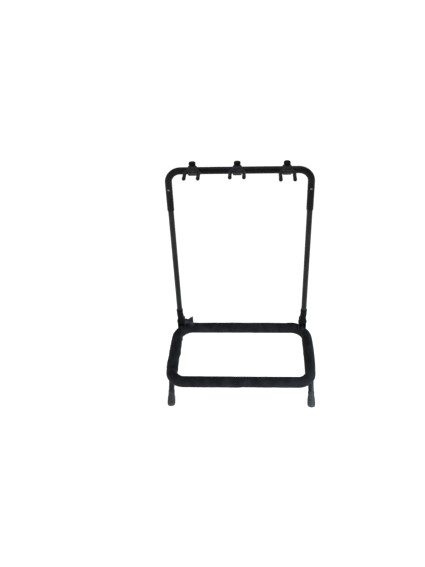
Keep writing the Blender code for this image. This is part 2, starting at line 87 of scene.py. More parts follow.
# Driving dimensions of the model
GAP = 0.0003
RING_X, RING_Y = 0.2665, 0.155
BENDS = {"front": 0.048, "rear": 0.062}
RAIL_R = 0.011
HOOP_R, HOOP_WALL, HOOP_BEND = 0.0127, 0.0010, 0.045
UPRIGHT_R, UPRIGHT_WALL = 0.0105, 0.0012
LEG_R, LEG_WALL, LEG_TOP_Y = 0.011, 0.0012, 0.113
LEG_START, LEG_SHORT = 0.015, 0.004
FOOT_R, FOOT_RISE = 0.0153, 0.052
SHEET = 0.0025
KNUCKLE_OUT, KNUCKLE_IN, KNUCKLE_R = 0.009, 0.015, 0.013
BRACKET_FOOT_Z, BRACKET_FRONT = 0.098, -0.014
BOLT_R = 0.004
BOLT_HOLE_R = BOLT_R + 0.0004
SHOE_SCREW_R, HOOP_SCREW_R, SCREW_HEAD_HIGH = 0.0018, 0.0021, 0.0018
LINER_R, LIP_R, LINER_BORE, LIP_WIDE = 0.0144, 0.0153, 0.0132, 0.0015
COLLAR_BORE, COLLAR_R, COLLAR_HALF = 0.0149, 0.0179, 0.014
PRONG_X, PRONG_Z, PRONG_REACH = 0.0238, 0.004, 0.084
ARM_Y, ARM_R, ARM_BEND, ARM_REACH = -0.0225, 0.007, 0.008, 0.031
ROD_R, STUD_R = 0.0035, 0.003
BOSS_R, BOSS_TOP = 0.0100, 0.0212
KNOB_R, KNOB_TOP = 0.0125, 0.032

# How the foam lies: the spacing of its folds, what it swells and falls at a seam, the crown over the
# rear corners, the puff between the cheeks of a bracket, and the lip round a leg
FOLD_SPACING = 0.0092
SEAM_SWELL, SEAM_REACH = {"front": 0.0004, "rear": 0.0011}, 0.011
END_FALL, END_REACH = 0.0009, 0.0018
CROWN_X, CROWN_REACH, CROWN_SHARE = 0.212, 0.026, 1.1
PUFF_RISE, PUFF_FRONT, PUFF_RUN, PUFF_OVER_RAIL = 0.012, 0.020, 0.012, 0.003
LIP_RISE, LIP_AWAY, LIP_REACH, LIP_NEAREST, LIP_FURTHEST = 0.0009, 0.0045, 0.003, 0.0008, 0.014

# Where the sides of the ring are loose: middle and reach in Y, and shares of the fullness inward
# and outward
LOOSE_PARTS = {
    ("front", "left"): ((-0.065, 0.045, 0.0, 1.1), (-0.088, 0.010, 0.3, 0.0), (-0.003, 0.013, 0.95, 0.0)),
    ("front", "right"): ((-0.122, 0.042, 0.0, -0.85),),
    ("rear", "left"): ((0.048, 0.048, 1.0, 0.2), (-0.003, 0.013, 0.95, 0.0)),
    ("rear", "right"): ((0.072, 0.035, 0.55, 0.0),),
}

# Wear shows on faces narrower than this. It starts at one angle of the rim, in degrees, and is full
# that span further on.
WORN_WIDTH = 0.0005
WORN_FROM, WORN_SPAN = 7, 22

# Where each light stands and what it points at, its size, its spread in degrees and its colour
LIGHTS = {
    "key": ((-1.7, -2.3, 1.3), (0, 0, 0.35), 1.8, 180, (1.0, 0.985, 0.96)),
    "fill": ((0.95, -0.85, 0.30), (0.2, -0.1, 0.05), 0.6, 44, (0.62, 0.82, 1.0)),
    "top": ((0.1, 0.2, 2.7), (0, 0, 0.35), 1.8, 180, (1.0, 1.0, 1.0)),
}
# Half the floor's side, and from where to where its glow grows
FLOOR_HALF, GLOW_FROM, GLOW_TO = 60.0, 1.5, 6.0
# How bright the surround is level with the rack and overhead, and how far up it has changed by
SKY_LEVEL, SKY_OVERHEAD, SKY_RISE = 0.88, 0.06, 0.7

# Settings


class RackFoamSettings(bpy.types.PropertyGroup):
    """The two foam sleeves of the base."""

    radius: bpy.props.FloatProperty(
        name="Radius", description="Outside radius of a sleeve", default=0.0215, min=0.015, unit="LENGTH"
    )
    wrinkle: bpy.props.FloatProperty(
        name="Wrinkles", description="Depth of the folds inside a bend", default=0.0011, min=0, unit="LENGTH"
    )
    unevenness: bpy.props.FloatProperty(
        name="Unevenness", description="How far the skin wanders in and out",
        default=0.0006, min=0, unit="LENGTH",
    )
    bunching: bpy.props.FloatVectorProperty(
        name="Bunching", description="How much thicker it is inside a front bend and inside a rear bend",
        default=(0.0024, 0.0030), size=2, unit="LENGTH",
    )
    stretch: bpy.props.FloatVectorProperty(
        name="Stretch", description="How much thinner it is outside a front bend and outside a rear bend",
        default=(0.0010, 0.0058), size=2, unit="LENGTH",
    )
    fullness: bpy.props.FloatProperty(
        name="Fullness", description="How far the sides stand out where the foam is loose",
        default=0.0030, unit="LENGTH",
    )
    cell: bpy.props.FloatProperty(
        name="Cell", description="Size of a foam cell", default=0.0011, min=0.0002, unit="LENGTH"
    )
    colour: bpy.props.FloatVectorProperty(
        name="Colour", description="Foam colour",
        default=(0.0088, 0.0088, 0.0098), min=0, max=1, subtype="COLOR",
    )
    bloom: bpy.props.FloatVectorProperty(
        name="Bloom", description="Colour of the greyer patches",
        default=(0.0185, 0.0187, 0.0208), min=0, max=1, subtype="COLOR",
    )


class RackSteelSettings(bpy.types.PropertyGroup):
    """Painted tubes and sheet, and the plated screws."""

    paint: bpy.props.FloatVectorProperty(
        name="Paint", description="Powder coat colour",
        default=(0.0050, 0.0050, 0.0056), min=0, max=1, subtype="COLOR",
    )
    roughness: bpy.props.FloatProperty(
        name="Roughness", description="Roughness of the powder coat",
        default=0.40, min=0, max=1, subtype="FACTOR",
    )
    gloss: bpy.props.FloatProperty(
        name="Gloss", description="Strength of the coat's reflections",
        default=0.18, min=0, max=1, subtype="FACTOR",
    )
    hoop_gloss: bpy.props.FloatProperty(
        name="Hoop gloss", description="The same on the top hoop",
        default=0.08, min=0, max=1, subtype="FACTOR",
    )
    dust: bpy.props.FloatProperty(
        name="Dust", description="How much dust lies on top", default=0.05, min=0, max=1, subtype="FACTOR"
    )
    zinc: bpy.props.FloatVectorProperty(
        name="Zinc", description="Bright plating colour",
        default=(0.21, 0.22, 0.235), min=0, max=1, subtype="COLOR",
    )
    black_zinc: bpy.props.FloatVectorProperty(
        name="Black zinc", description="Black plating colour",
        default=(0.045, 0.045, 0.052), min=0, max=1, subtype="COLOR",
    )


class RackMouldedSettings(bpy.types.PropertyGroup):
    """Nylon and rubber pieces."""

    nylon: bpy.props.FloatVectorProperty(
        name="Nylon", description="Colour of the bushes and the liners on the bar",
        default=(0.0050, 0.0048, 0.0058), min=0, max=1, subtype="COLOR",
    )
    # Painted light: a lighter copy of the nylon colour, for the light on the front of the collars and the wing
    # knob.
    collar: bpy.props.FloatVectorProperty(
        name="Collar", description="Colour of the collars on the bar and the wing knob",
        default=(0.0135, 0.0122, 0.0160), min=0, max=1, subtype="COLOR",
    )
    # Painted shade: a darker copy of the nylon colour, for the tops of the lock knobs and for the shoes.
    knob: bpy.props.FloatVectorProperty(
        name="Knob", description="Colour of the lock knobs and the shoes",
        default=(0.0026, 0.0026, 0.0030), min=0, max=1, subtype="COLOR",
    )
    rubber: bpy.props.FloatVectorProperty(
        name="Rubber", description="Colour of the feet",
        default=(0.0275, 0.0270, 0.0280), min=0, max=1, subtype="COLOR",
    )
    sleeve: bpy.props.FloatVectorProperty(
        name="Sleeve", description="Colour of the prong sleeves",
        default=(0.0085, 0.0085, 0.0095), min=0, max=1, subtype="COLOR",
    )
    fineness: bpy.props.FloatProperty(
        name="Fineness", description="Mesh size of the moulded shapes",
        default=0.0006, min=0.0003, unit="LENGTH",
    )


class RackStageSettings(bpy.types.PropertyGroup):
    """Floor, lights and camera."""

    floor: bpy.props.FloatVectorProperty(
        name="Floor", description="Floor colour", default=(0.80, 0.80, 0.80), min=0, max=1, subtype="COLOR"
    )
    glow: bpy.props.FloatVectorProperty(
        name="Glow", description="Light that comes up through the floor, under the rack and far from it",
        default=(0.78, 0.90), size=2, min=0, max=2,
    )
    key_power: bpy.props.FloatProperty(
        name="Key light", description="Front left light", default=22, min=0, unit="POWER"
    )
    fill_power: bpy.props.FloatProperty(
        name="Fill light", description="Low front right light", default=1.5, min=0, unit="POWER"
    )
    top_power: bpy.props.FloatProperty(
        name="Top light", description="Light overhead", default=22, min=0, unit="POWER"
    )
    lens: bpy.props.FloatProperty(name="Lens", description="Focal length", default=42.10, unit="CAMERA")
    camera_place: bpy.props.FloatVectorProperty(
        name="Camera place", description="Where the camera stands",
        default=(0.046494, -1.914635, 1.926733), subtype="TRANSLATION",
    )
    pitch: bpy.props.FloatProperty(
        name="Pitch", description="How far the camera looks down", default=0.65726, subtype="ANGLE"
    )
    yaw: bpy.props.FloatProperty(
        name="Yaw", description="Turn to the right", default=-0.07693, subtype="ANGLE"
    )
    roll: bpy.props.FloatProperty(
        name="Roll", description="Tilt of the picture", default=-0.04825, subtype="ANGLE"
    )


# Finishes

DUST, RUBBED_PAINT = (0.30, 0.29, 0.27), (0.022, 0.022, 0.024)
SCUFF, RUBBED_FOOT, RUBBED_SLEEVE = (0.16, 0.16, 0.165), (0.11, 0.112, 0.12), (0.05, 0.05, 0.052)
FOAM_SHEEN = (0.75, 0.82, 1.0, 1)


class Finish:
    """A material that is being put together, with short ways to add nodes to it."""

    def __init__(self, name, roughness, metallic=0.0):
        self.material = bpy.data.materials.new(name)
        self.material.use_nodes = True
        self.tree = self.material.node_tree
        self.shader = self.tree.nodes["Principled BSDF"]
        self.set("Roughness", roughness)
        self.set("Metallic", metallic)
        self.surface = self.tree.nodes.new("ShaderNodeTexCoord")

    def set(self, name, value):
        """Gives one of the shader's inputs the same value all over."""
        self.shader.inputs[name].default_value = value

    def use(self, name, socket):
        """Gives one of the shader's inputs a value that varies."""
        self.tree.links.new(socket, self.shader.inputs[name])

    def add(self, kind, values=(), **settings):
        """A node with its settings, and values or links for its inputs by name or number."""
        node = self.tree.nodes.new(kind)
        for name, value in settings.items():
            setattr(node, name, value)
        for name, value in dict(values).items():
            if isinstance(value, bpy.types.NodeSocket):
                self.tree.links.new(value, node.inputs[name])
            else:
                node.inputs[name].default_value = value
        return node

    def place(self, stretch=None):
        """The place on the piece, in its own axes, which may be stretched."""
        spot = self.surface.outputs["Object"]
        if stretch is None:
            return spot
        return self.add("ShaderNodeMapping", {"Vector": spot, "Scale": stretch}).outputs[0]

    def along(self, axis):
        """How far along one of the piece's own axes a point is."""
        return self.add("ShaderNodeSeparateXYZ", {0: self.place()}).outputs[axis]

    def noise(self, size, detail=3.0, stretch=None):
        """Clouds whose patches are about that size in metres, from 0 to 1."""
        values = {"Vector": self.place(stretch), "Scale": 1 / size, "Detail": detail}
        return self.add("ShaderNodeTexNoise", values).outputs["Fac"]

    def cells(self, size):
        """Distance from the middle of the nearest cell, for cells of about that size."""
        values = {"Vector": self.place(), "Scale": 1 / size}
        return self.add("ShaderNodeTexVoronoi", values).outputs["Distance"]

    def spread(self, value, low, high, to_low=0.0, to_high=1.0):
        """The value moved from one range to another and kept inside it."""
        values = {"Value": value, "From Min": low, "From Max": high, "To Min": to_low, "To Max": to_high}
        return self.add("ShaderNodeMapRange", values).outputs[0]

    def patches(self, size, detail, low, high, to_low=0.0, to_high=1.0):
        """Clouds of that size with their range spread."""
        return self.spread(self.noise(size, detail), low, high, to_low, to_high)

    def times(self, first, second):
        """The product of two values, each one a socket or a number."""
        return self.add("ShaderNodeMath", {0: first, 1: second}, operation="MULTIPLY").outputs[0]

    def plus(self, first, second):
        """The sum of two values, each one a socket or a number."""
        return self.add("ShaderNodeMath", {0: first, 1: second}, operation="ADD").outputs[0]

    def mix(self, share, first, second):
        """A colour between two, each one a socket or three numbers."""
        node = self.add("ShaderNodeMix", {"Factor": share}, data_type="RGBA")
        for socket, colour in ((node.inputs[6], first), (node.inputs[7], second)):
            if isinstance(colour, bpy.types.NodeSocket):
                self.tree.links.new(colour, socket)
            else:
                socket.default_value = (*colour, 1)
        return node.outputs[2]

    def upward(self):
        """1 on faces that look up and 0 on steep ones."""
        parts = self.add("ShaderNodeSeparateXYZ", {0: self.surface.outputs["Normal"]})
        return self.spread(parts.outputs["Z"], 0.2, 0.95)

    def worn(self, low, high):
        """1 on the sharp rims of a piece, broken up by noise."""
        rim = self.add("ShaderNodeAttribute", attribute_name="wear").outputs["Fac"]
        return self.spread(self.times(rim, self.noise(0.004, 4)), low, high)

    def bump(self, height, depth):
        """Raises the surface by up to depth metres where height is 1."""
        node = self.add("ShaderNodeBump", {"Height": height, "Distance": depth, "Strength": 1.0})
        before = self.shader.inputs["Normal"]
        if before.is_linked:
            self.tree.links.new(before.links[0].from_socket, node.inputs["Normal"])
        self.use("Normal", node.outputs["Normal"])


def shade_of(colour, factor, added=0.0):
    """The colour made lighter or darker."""
    return [channel * factor + added for channel in colour]


def powder_coat(steel, name, gloss):
    """Satin black powder coat: orange peel, faint cloudiness, a little dust on top, rubbed rims."""
    coat = Finish(name, steel.roughness)
    tone = coat.mix(coat.patches(0.05, 4, 0.35, 0.7), steel.paint, shade_of(steel.paint, 1.9, 0.002))
    dusty = coat.times(coat.times(coat.upward(), coat.patches(0.012, 6, 0.45, 0.75)), steel.dust)
    tone = coat.mix(coat.worn(0.22, 0.6), coat.mix(dusty, tone, DUST), RUBBED_PAINT)
    coat.use("Base Color", tone)
    rough = coat.patches(0.02, 5, 0.3, 0.7, steel.roughness - 0.07, steel.roughness + 0.10)
    coat.use("Roughness", coat.plus(rough, coat.times(dusty, 2.0)))
    coat.bump(coat.noise(0.0022, 2), 0.00006)
    coat.bump(coat.patches(0.03, 3, 0.4, 0.6), 0.00004)
    coat.set("Specular IOR Level", gloss)
    return coat.material


def foam_finish(foam):
    """Closed-cell foam: fine pits with painted shade in them, greyer patches where it is handled, a soft sheen."""
    skin = Finish("black_foam_skin", 0.92)
    pits = skin.cells(foam.cell)
    patch = skin.patches(0.035, 6, 0.42, 0.72)
    tone = skin.mix(patch, foam.colour, foam.bloom)
    # Painted shade: the colour darkens towards the middle of each pit.
    tone = skin.mix(skin.spread(pits, 0.42, 0.05, 0, 0.75), tone, shade_of(foam.colour, 0.3))
    tone = skin.mix(skin.patches(0.0016, 5, 0.62, 0.74, 0, 0.55), tone, shade_of(foam.bloom, 2.2))
    skin.use("Base Color", tone)
    skin.use("Roughness", skin.spread(patch, 0, 1, 0.95, 0.80))
    skin.bump(pits, 0.00022)
    skin.bump(skin.cells(foam.cell * 2.7), 0.00020)
    skin.bump(skin.noise(0.006, 5), 0.00045)
    skin.set("Sheen Weight", 0.03)
    skin.set("Sheen Roughness", 0.55)
    skin.set("Sheen Tint", FOAM_SHEEN)
    skin.set("Specular IOR Level", 0.12)
    return skin.material


def nylon_finish(name, colour, gloss=0.16):
    """Moulded nylon: a fine spark-eroded grain, faint flow marks, paler rims."""
    nylon = Finish(name, 0.5)
    tone = nylon.mix(nylon.patches(0.010, 4, 0.4, 0.7), colour, shade_of(colour, 2.0, 0.001))
    nylon.use("Base Color", nylon.mix(nylon.worn(0.2, 0.8), tone, shade_of(colour, 2.4, 0.012)))
    nylon.use("Roughness", nylon.patches(0.006, 5, 0.3, 0.7, 0.42, 0.62))
    nylon.set("Specular IOR Level", gloss)
    nylon.bump(nylon.noise(0.0009, 3), 0.00008)
    nylon.bump(nylon.noise(0.02, 2), 0.00012)
    return nylon.material


def rubber_finish(moulded):
    """Grey rubber of the feet: bloom, and scuffs low down near the floor."""
    rubber = Finish("grey_rubber", 0.75)
    tone = rubber.mix(rubber.patches(0.009, 6, 0.38, 0.68), moulded.rubber, shade_of(moulded.rubber, 2.1))
    near_floor = rubber.spread(rubber.along("Z"), 0.016, 0.001)
    scuffed = rubber.times(near_floor, rubber.patches(0.003, 6, 0.42, 0.62, 0, 0.7))
    tone = rubber.mix(rubber.worn(0.15, 0.8), rubber.mix(scuffed, tone, SCUFF), RUBBED_FOOT)
    rubber.use("Base Color", tone)
    rubber.use("Roughness", rubber.patches(0.007, 5, 0.3, 0.7, 0.55, 0.85))
    rubber.set("Specular IOR Level", 0.2)
    rubber.bump(rubber.noise(0.0012, 4), 0.0001)
    return rubber.material


def sleeve_finish(moulded):
    """Soft black sleeves on the prongs: shafts paler in patches, the tips plain."""
    sleeve = Finish("black_sleeve_rubber", 0.6)
    # Paler patches along the shaft, fading out towards the tip.
    shaft = sleeve.spread(sleeve.along("Y"), -0.070, -0.045)
    shaft_patches = sleeve.times(shaft, sleeve.patches(0.008, 5, 0.3, 0.65))
    tone = sleeve.mix(shaft_patches, moulded.sleeve, shade_of(moulded.sleeve, 2.4))
    sleeve.use("Base Color", sleeve.mix(sleeve.worn(0.3, 0.9), tone, RUBBED_SLEEVE))
    sleeve.use("Roughness", sleeve.patches(0.004, 5, 0.3, 0.7, 0.48, 0.72))
    sleeve.set("Specular IOR Level", 0.16)
    sleeve.bump(sleeve.noise(0.0014, 4), 0.00008)
    return sleeve.material


def plated_finish(name, colour, roughness, tint):
    """Zinc plating: thin brushed lines and a faint coloured haze from the passivation."""
    zinc = Finish(name, roughness, 1.0)
    hazy = [channel * share for channel, share in zip(colour, tint)]
    tone = zinc.mix(zinc.patches(0.003, 3, 0.35, 0.7), colour, hazy)
    lines = zinc.noise(0.0012, 3, (1, 9, 9))
    tone = zinc.mix(zinc.spread(lines, 0.55, 0.8, 0, 0.35), tone, shade_of(colour, 0.55))
    tone = zinc.mix(zinc.worn(0.3, 0.9), tone, [min(1, channel) for channel in shade_of(colour, 1.5)])
    zinc.use("Base Color", tone)
    zinc.use("Roughness", zinc.spread(lines, 0.3, 0.7, roughness - 0.08, roughness + 0.14))
    zinc.bump(lines, 0.00002)
    return zinc.material


def finishes():
    """How each finish is made: the record's slots, and the finishes of pieces that look different, among them a
    lighter and a darker copy of the nylon that paint light and shade.
    """
    scene = bpy.context.scene
    steel, moulded = scene.rack_steel, scene.rack_moulded
    dull = shade_of(steel.zinc, 0.3)
    return {
        "black_paint": lambda: powder_coat(steel, "black_powder_coat", steel.gloss),
        "hoop_paint": lambda: powder_coat(steel, "hoop_powder_coat", steel.hoop_gloss),
        "black_foam": lambda: foam_finish(scene.rack_foam),
        "black_nylon": lambda: nylon_finish("black_nylon", moulded.nylon),
        # Painted light: a lighter copy of the nylon for the collars and the wing knob.
        "collar_nylon": lambda: nylon_finish("collar_nylon", moulded.collar),
        # Painted shade: a darker copy of the nylon for the lock knobs and the shoes.
        "knob_nylon": lambda: nylon_finish("knob_nylon", moulded.knob, 0.07),
        "dark_rubber": lambda: rubber_finish(moulded),
        "sleeve_rubber": lambda: sleeve_finish(moulded),
        "bright_zinc": lambda: plated_finish("bright_zinc_plate", steel.zinc, 0.30, (1.0, 0.93, 0.80)),
        "dull_zinc": lambda: plated_finish("dull_zinc_plate", dull, 0.5, (1.0, 0.95, 0.9)),
        "black_zinc": lambda: plated_finish("black_zinc_plate", steel.black_zinc, 0.40, (0.9, 0.95, 1.25)),
    }


def finish_for(name):
    """A finish's material, made when it is first asked for."""
    for material in bpy.data.materials:
        if material.get("rack_finish") == name:
            return material
    made = finishes()[name]()
    made["rack_finish"] = name
    return made


# Shapes

ON_AXIS = 1e-7


def hill(offset, reach):
    """A smooth hill, 1 at no offset and nearly 0 at twice its reach."""
    return exp(-((offset / reach) ** 2))


def at_upright(side, z=PIVOT.z):
    """A point on the axis of an upright, as high as the pivot or elsewhere."""
    return Vector((side * UPRIGHT_X, PIVOT.y, z))


def route(start, heading, flat, moves, spacing):
    """Points along a line that runs straight and bends in one plane.

    Each one is (spot, course, turn): turn is how fully the line bends there, from -1 to 1, and is
    positive where it bends by the right-hand rule about flat.
    """
    spot, course, flat = Vector(start), Vector(heading).normalized(), Vector(flat)
    stops = [(spot.copy(), course.copy(), 0.0)]
    for move, length, *angle in moves:
        if move == "run":
            steps = max(1, ceil(length / spacing))
            for n in range(1, steps + 1):
                stops.append((spot + course * length * n / steps, course.copy(), 0.0))
            spot = spot + course * length
            continue
        angle = angle[0]
        way = 1 if angle > 0 else -1
        steps = max(6, ceil(abs(angle) * length / spacing))
        centre = spot + flat.cross(course) * length * way
        for n in range(1, steps + 1):
            turn = Matrix.Rotation(angle * n / steps, 3, flat)
            stops.append((centre + turn @ (spot - centre), turn @ course, way * sin(pi * n / steps)))
        spot, course = stops[-1][0], stops[-1][1]
    return stops


def skin(rows, around=False, caps=False):
    """A mesh over rows of points that close on themselves. around also joins the last row to the first."""
    bm = bmesh.new()
    made = [[bm.verts.new(point) for point in row] for row in rows]
    pairs = list(zip(made, made[1:])) + ([(made[-1], made[0])] if around else [])
    for low, high in pairs:
        for n in range(len(low)):
            bm.faces.new((low[n - 1], low[n], high[n], high[n - 1]))
    if caps:
        bm.faces.new(made[0])
        bm.faces.new(made[-1])
    bmesh.ops.recalc_face_normals(bm, faces=bm.faces)
    return bm


def hoop_of(spot, course, flat, radius, sides):
    """A circle of points across a line. radius is a number or a function of the angle."""
    across = flat.cross(course)
    points = []
    for n in range(sides):
        angle = tau * n / sides
        r = radius(angle) if callable(radius) else radius
        points.append(spot + (across * cos(angle) + flat * sin(angle)) * r)
    return points


def bent_rod(stops, flat, radius, sides=40):
    """A solid rod along a route."""
    return skin([hoop_of(spot, course, flat, radius, sides) for spot, course, _ in stops], caps=True)


def open_tube(stops, flat, outer, inner, sides, edge=0.0004):
    """A tube with two walls and eased ends. outer is a number, or a function of the angle and the stop."""
    flat = Vector(flat)
    last = len(stops) - 1
    rim = [(edge * (1 - cos(a)), edge * (1 - sin(a))) for a in (0, pi / 4, pi / 2)]

    def ring(n, radius, back=0.0):
        spot, course, _ = stops[n]
        return hoop_of(spot - course * back, course, flat, radius, sides)

    def outside(n, fall=0.0):
        return (lambda angle: outer(angle, n) - fall) if callable(outer) else outer - fall

    def end(n, way):
        rows = [ring(n, outside(n, fall), way * back) for fall, back in rim]
        return rows + [ring(n, inner + fall, way * back) for fall, back in reversed(rim)]

    out = [ring(n, outside(n)) for n in range(1, last)]
    home = [ring(n, inner) for n in range(last - 1, 0, -1) if n % 3 == 0 or abs(stops[n][2]) > 0]
    return skin(out + end(last, 1) + home + end(0, -1)[::-1], around=True)


def eased(outline, radius, closed=False):
    """The outline with its corners rounded. A corner may have its own radius as a third number."""
    count = len(outline)
    points = []
    for n, corner in enumerate(outline):
        here = Vector(corner[:2])
        if not closed and n in (0, count - 1):
            points.append(here)
            continue
        before, after = Vector(outline[n - 1][:2]) - here, Vector(outline[(n + 1) % count][:2]) - here
        reach = min(corner[2] if len(corner) > 2 else radius, before.length * 0.48, after.length * 0.48)
        if reach < 1e-6:
            points.append(here)
            continue
        first, last = here + before.normalized() * reach, here + after.normalized() * reach
        shares = (0, 0.25, 0.5, 0.75, 1) if reach > 0.0005 else (0, 0.5, 1)
        for share in shares:
            points.append(first.lerp(here, share).lerp(here.lerp(last, share), share))
    return points


def aimed(bm, axis):
    """The shape swung from the Z axis to another."""
    bmesh.ops.transform(bm, matrix=Z_AXIS.rotation_difference(axis).to_matrix().to_4x4(), verts=bm.verts)
    return bm


def turned(outline, sides, axis=Z_AXIS, closed=True):
    """A shape turned about an axis from (radius, height) points; a point on the axis ends it."""
    bm = bmesh.new()
    ways = [(cos(tau * n / sides), sin(tau * n / sides)) for n in range(sides)]
    rows = []
    for radius, height in outline:
        if radius < ON_AXIS:
            rows.append([bm.verts.new((0, 0, height))])
        else:
            rows.append([bm.verts.new((radius * x, radius * y, height)) for x, y in ways])
    pairs = list(zip(rows, rows[1:]))
    if closed and min(outline[0][0], outline[-1][0]) >= ON_AXIS:
        pairs.append((rows[-1], rows[0]))
    for low, high in pairs:
        for n in range(sides):
            if len(low) == 1:
                corners = (low[0], high[n], high[n - 1])
            elif len(high) == 1:
                corners = (low[n - 1], low[n], high[0])
            else:
                corners = (low[n - 1], low[n], high[n], high[n - 1])
            bm.faces.new(corners)
    bmesh.ops.recalc_face_normals(bm, faces=bm.faces)
    return aimed(bm, axis)


def rod(radius, start, end, sides=24):
    """A plain straight rod, for cutting holes."""
    start, way = Vector(start), Vector(end) - Vector(start)
    bm = turned([(0, 0), (radius, 0), (radius, way.length), (0, way.length)], sides, way)
    bmesh.ops.translate(bm, vec=start, verts=bm.verts)
    return bm


def slab(outline, low, high, axes="XYZ"):
    """A flat plate. axes names the two axes of its outline, and then the one that it is thick along."""
    order = [axes.index(axis) for axis in "XYZ"]
    rows = [[[(*point, height)[n] for n in order] for point in outline] for height in (low, high)]
    return skin(rows, caps=True)


def soft_rectangle(middle, half_x, half_y, corner, z, steps=9):
    """Points round a rectangle with round corners."""
    points = []
    for quarter, (side_x, side_y) in enumerate(((1, 1), (-1, 1), (-1, -1), (1, -1))):
        for step in range(steps):
            angle = (quarter + (step + 0.5) / steps) * pi / 2
            x = middle + side_x * (half_x - corner) + corner * cos(angle)
            points.append((x, side_y * (half_y - corner) + corner * sin(angle), z))
    return points


def joined(*shapes):
    """Several shapes in one mesh, the others used up."""
    first = shapes[0]
    for other in shapes[1:]:
        spare = bpy.data.meshes.new("spare")
        other.to_mesh(spare)
        other.free()
        first.from_mesh(spare)
        bpy.data.meshes.remove(spare)
    return first


def helper_of(bm):
    """A short-lived object that holds a shape, which is used up."""
    mesh = bpy.data.meshes.new("helper")
    bm.to_mesh(mesh)
    bm.free()
    helper = bpy.data.objects.new("helper", mesh)
    bpy.context.scene.collection.objects.link(helper)
    return helper


def remove_helper(helper):
    """Removes a helper and its mesh."""
    mesh = helper.data
    bpy.data.objects.remove(helper)
    bpy.data.meshes.remove(mesh)


def through_modifiers(bm, *modifiers):
    """The shape after some modifiers, each one (type, {setting: value})."""
    work = helper_of(bm)
    for kind, settings in modifiers:
        modifier = work.modifiers.new(kind, kind)
        for name, value in settings.items():
            setattr(modifier, name, value)
    made = bmesh.new()
    evaluated = work.evaluated_get(bpy.context.evaluated_depsgraph_get())
    made.from_mesh(evaluated.to_mesh())
    evaluated.to_mesh_clear()
    remove_helper(work)
    return made


def cut(bm, *tools):
    """The shape with holes in the form of the tools, which are used up."""
    helpers = [helper_of(tool) for tool in tools]
    settings = {"operation": "DIFFERENCE", "solver": "EXACT"}
    made = through_modifiers(bm, *(("BOOLEAN", {**settings, "object": helper}) for helper in helpers))
    for helper in helpers:
        remove_helper(helper)
    bmesh.ops.remove_doubles(made, verts=made.verts, dist=1e-7)
    bmesh.ops.holes_fill(made, edges=made.edges, sides=6)
    return made


def moulded_shape(*shapes, fineness, smoothing=4):
    """Overlapping closed shapes as one moulding with soft inner corners."""
    voxels = ("REMESH", {"mode": "VOXEL", "voxel_size": fineness})
    return through_modifiers(joined(*shapes), voxels, ("SMOOTH", {"factor": 0.5, "iterations": smoothing}))


def mirrored(bm):
    """The shape's mirror image in X."""
    bmesh.ops.scale(bm, vec=(-1, 1, 1), verts=bm.verts)
    bmesh.ops.reverse_faces(bm, faces=bm.faces)
    return bm


def wear_of(mesh):
    """Marks how sharp a rim is, on the corners of the narrow faces along it, for the finishes to read."""
    bm = bmesh.new()
    bm.from_mesh(mesh)
    sharpness = []
    for vert in bm.verts:
        angles = [edge.calc_face_angle_signed(0) for edge in vert.link_edges if len(edge.link_faces) == 2]
        bend = sum(angles) / len(angles) if angles else 0
        sharpness.append(min(1.0, max(0.0, (degrees(bend) - WORN_FROM) / WORN_SPAN)))
    bm.free()
    marks = []
    for face in mesh.polygons:
        rim = [mesh.vertices[n].co for n in face.vertices]
        around = sum((a - b).length for a, b in zip(rim, rim[1:] + rim[:1]))
        narrow = 2 * face.area < WORN_WIDTH * around
        marks += [sharpness[n] if narrow else 0.0 for n in face.vertices]
    mesh.attributes.new("wear", "FLOAT", "CORNER").data.foreach_set("value", marks)


def piece(name, bm, node, spot=(0, 0, 0), turn=(0, 0, 0), crease=38, finish=None):
    """A finished piece that stands for a CAD node, on its body and in its slot's finish or another."""
    mesh = bpy.data.meshes.new(name)
    bmesh.ops.recalc_face_normals(bm, faces=bm.faces)
    bm.to_mesh(mesh)
    bm.free()
    mesh.shade_smooth()
    mesh.set_sharp_from_angle(angle=radians(crease))
    wear_of(mesh)
    mesh.materials.append(finish_for(finish or SLOTS[node]))
    obj = bpy.data.objects.new(name, mesh)
    bpy.context.scene.collection.objects.link(obj)
    obj.location, obj.rotation_euler = spot, turn
    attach(obj, BODIES[node])
    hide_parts(node)
    return obj


def refinish(*nodes):
    """Gives CAD nodes that stay the finish of their record slot."""
    for name in nodes:
        mesh = frame["nodes"][name].data
        mesh.materials.clear()
        mesh.materials.append(finish_for(SLOTS[name]))


def leg_line(row, column):
    """Where a leg's axis meets the ring, just inside its corner, and the floor, and its way up."""
    bend = BENDS[row]
    into_bend = LEG_TOP_Y - (RING_Y - bend)
    top_x = RING_X - bend + sqrt(bend**2 - into_bend**2)
    top = Vector((SIDES[column] * top_x, ROWS[row] * LEG_TOP_Y, RING_Z))
    floor = MOUNTS[f"{row}_{column}_foot_face"]
    return top, floor, (top - floor).normalized()


def rail_corner(row, column, spacing):
    """The outside of a rail round one corner of the ring, with its clearance, for cutting what meets it."""
    side, bend = ROWS[row], BENDS[row]
    moves = [("run", RING_Y - bend), ("turn", bend, SIDES[column] * side * pi / 2), ("run", 0.1)]
    stops = route((SIDES[column] * RING_X, 0, RING_Z), (0, side, 0), Z_AXIS, moves, spacing)
    return bent_rod(stops, Z_AXIS, RAIL_R + GAP)


# Pieces


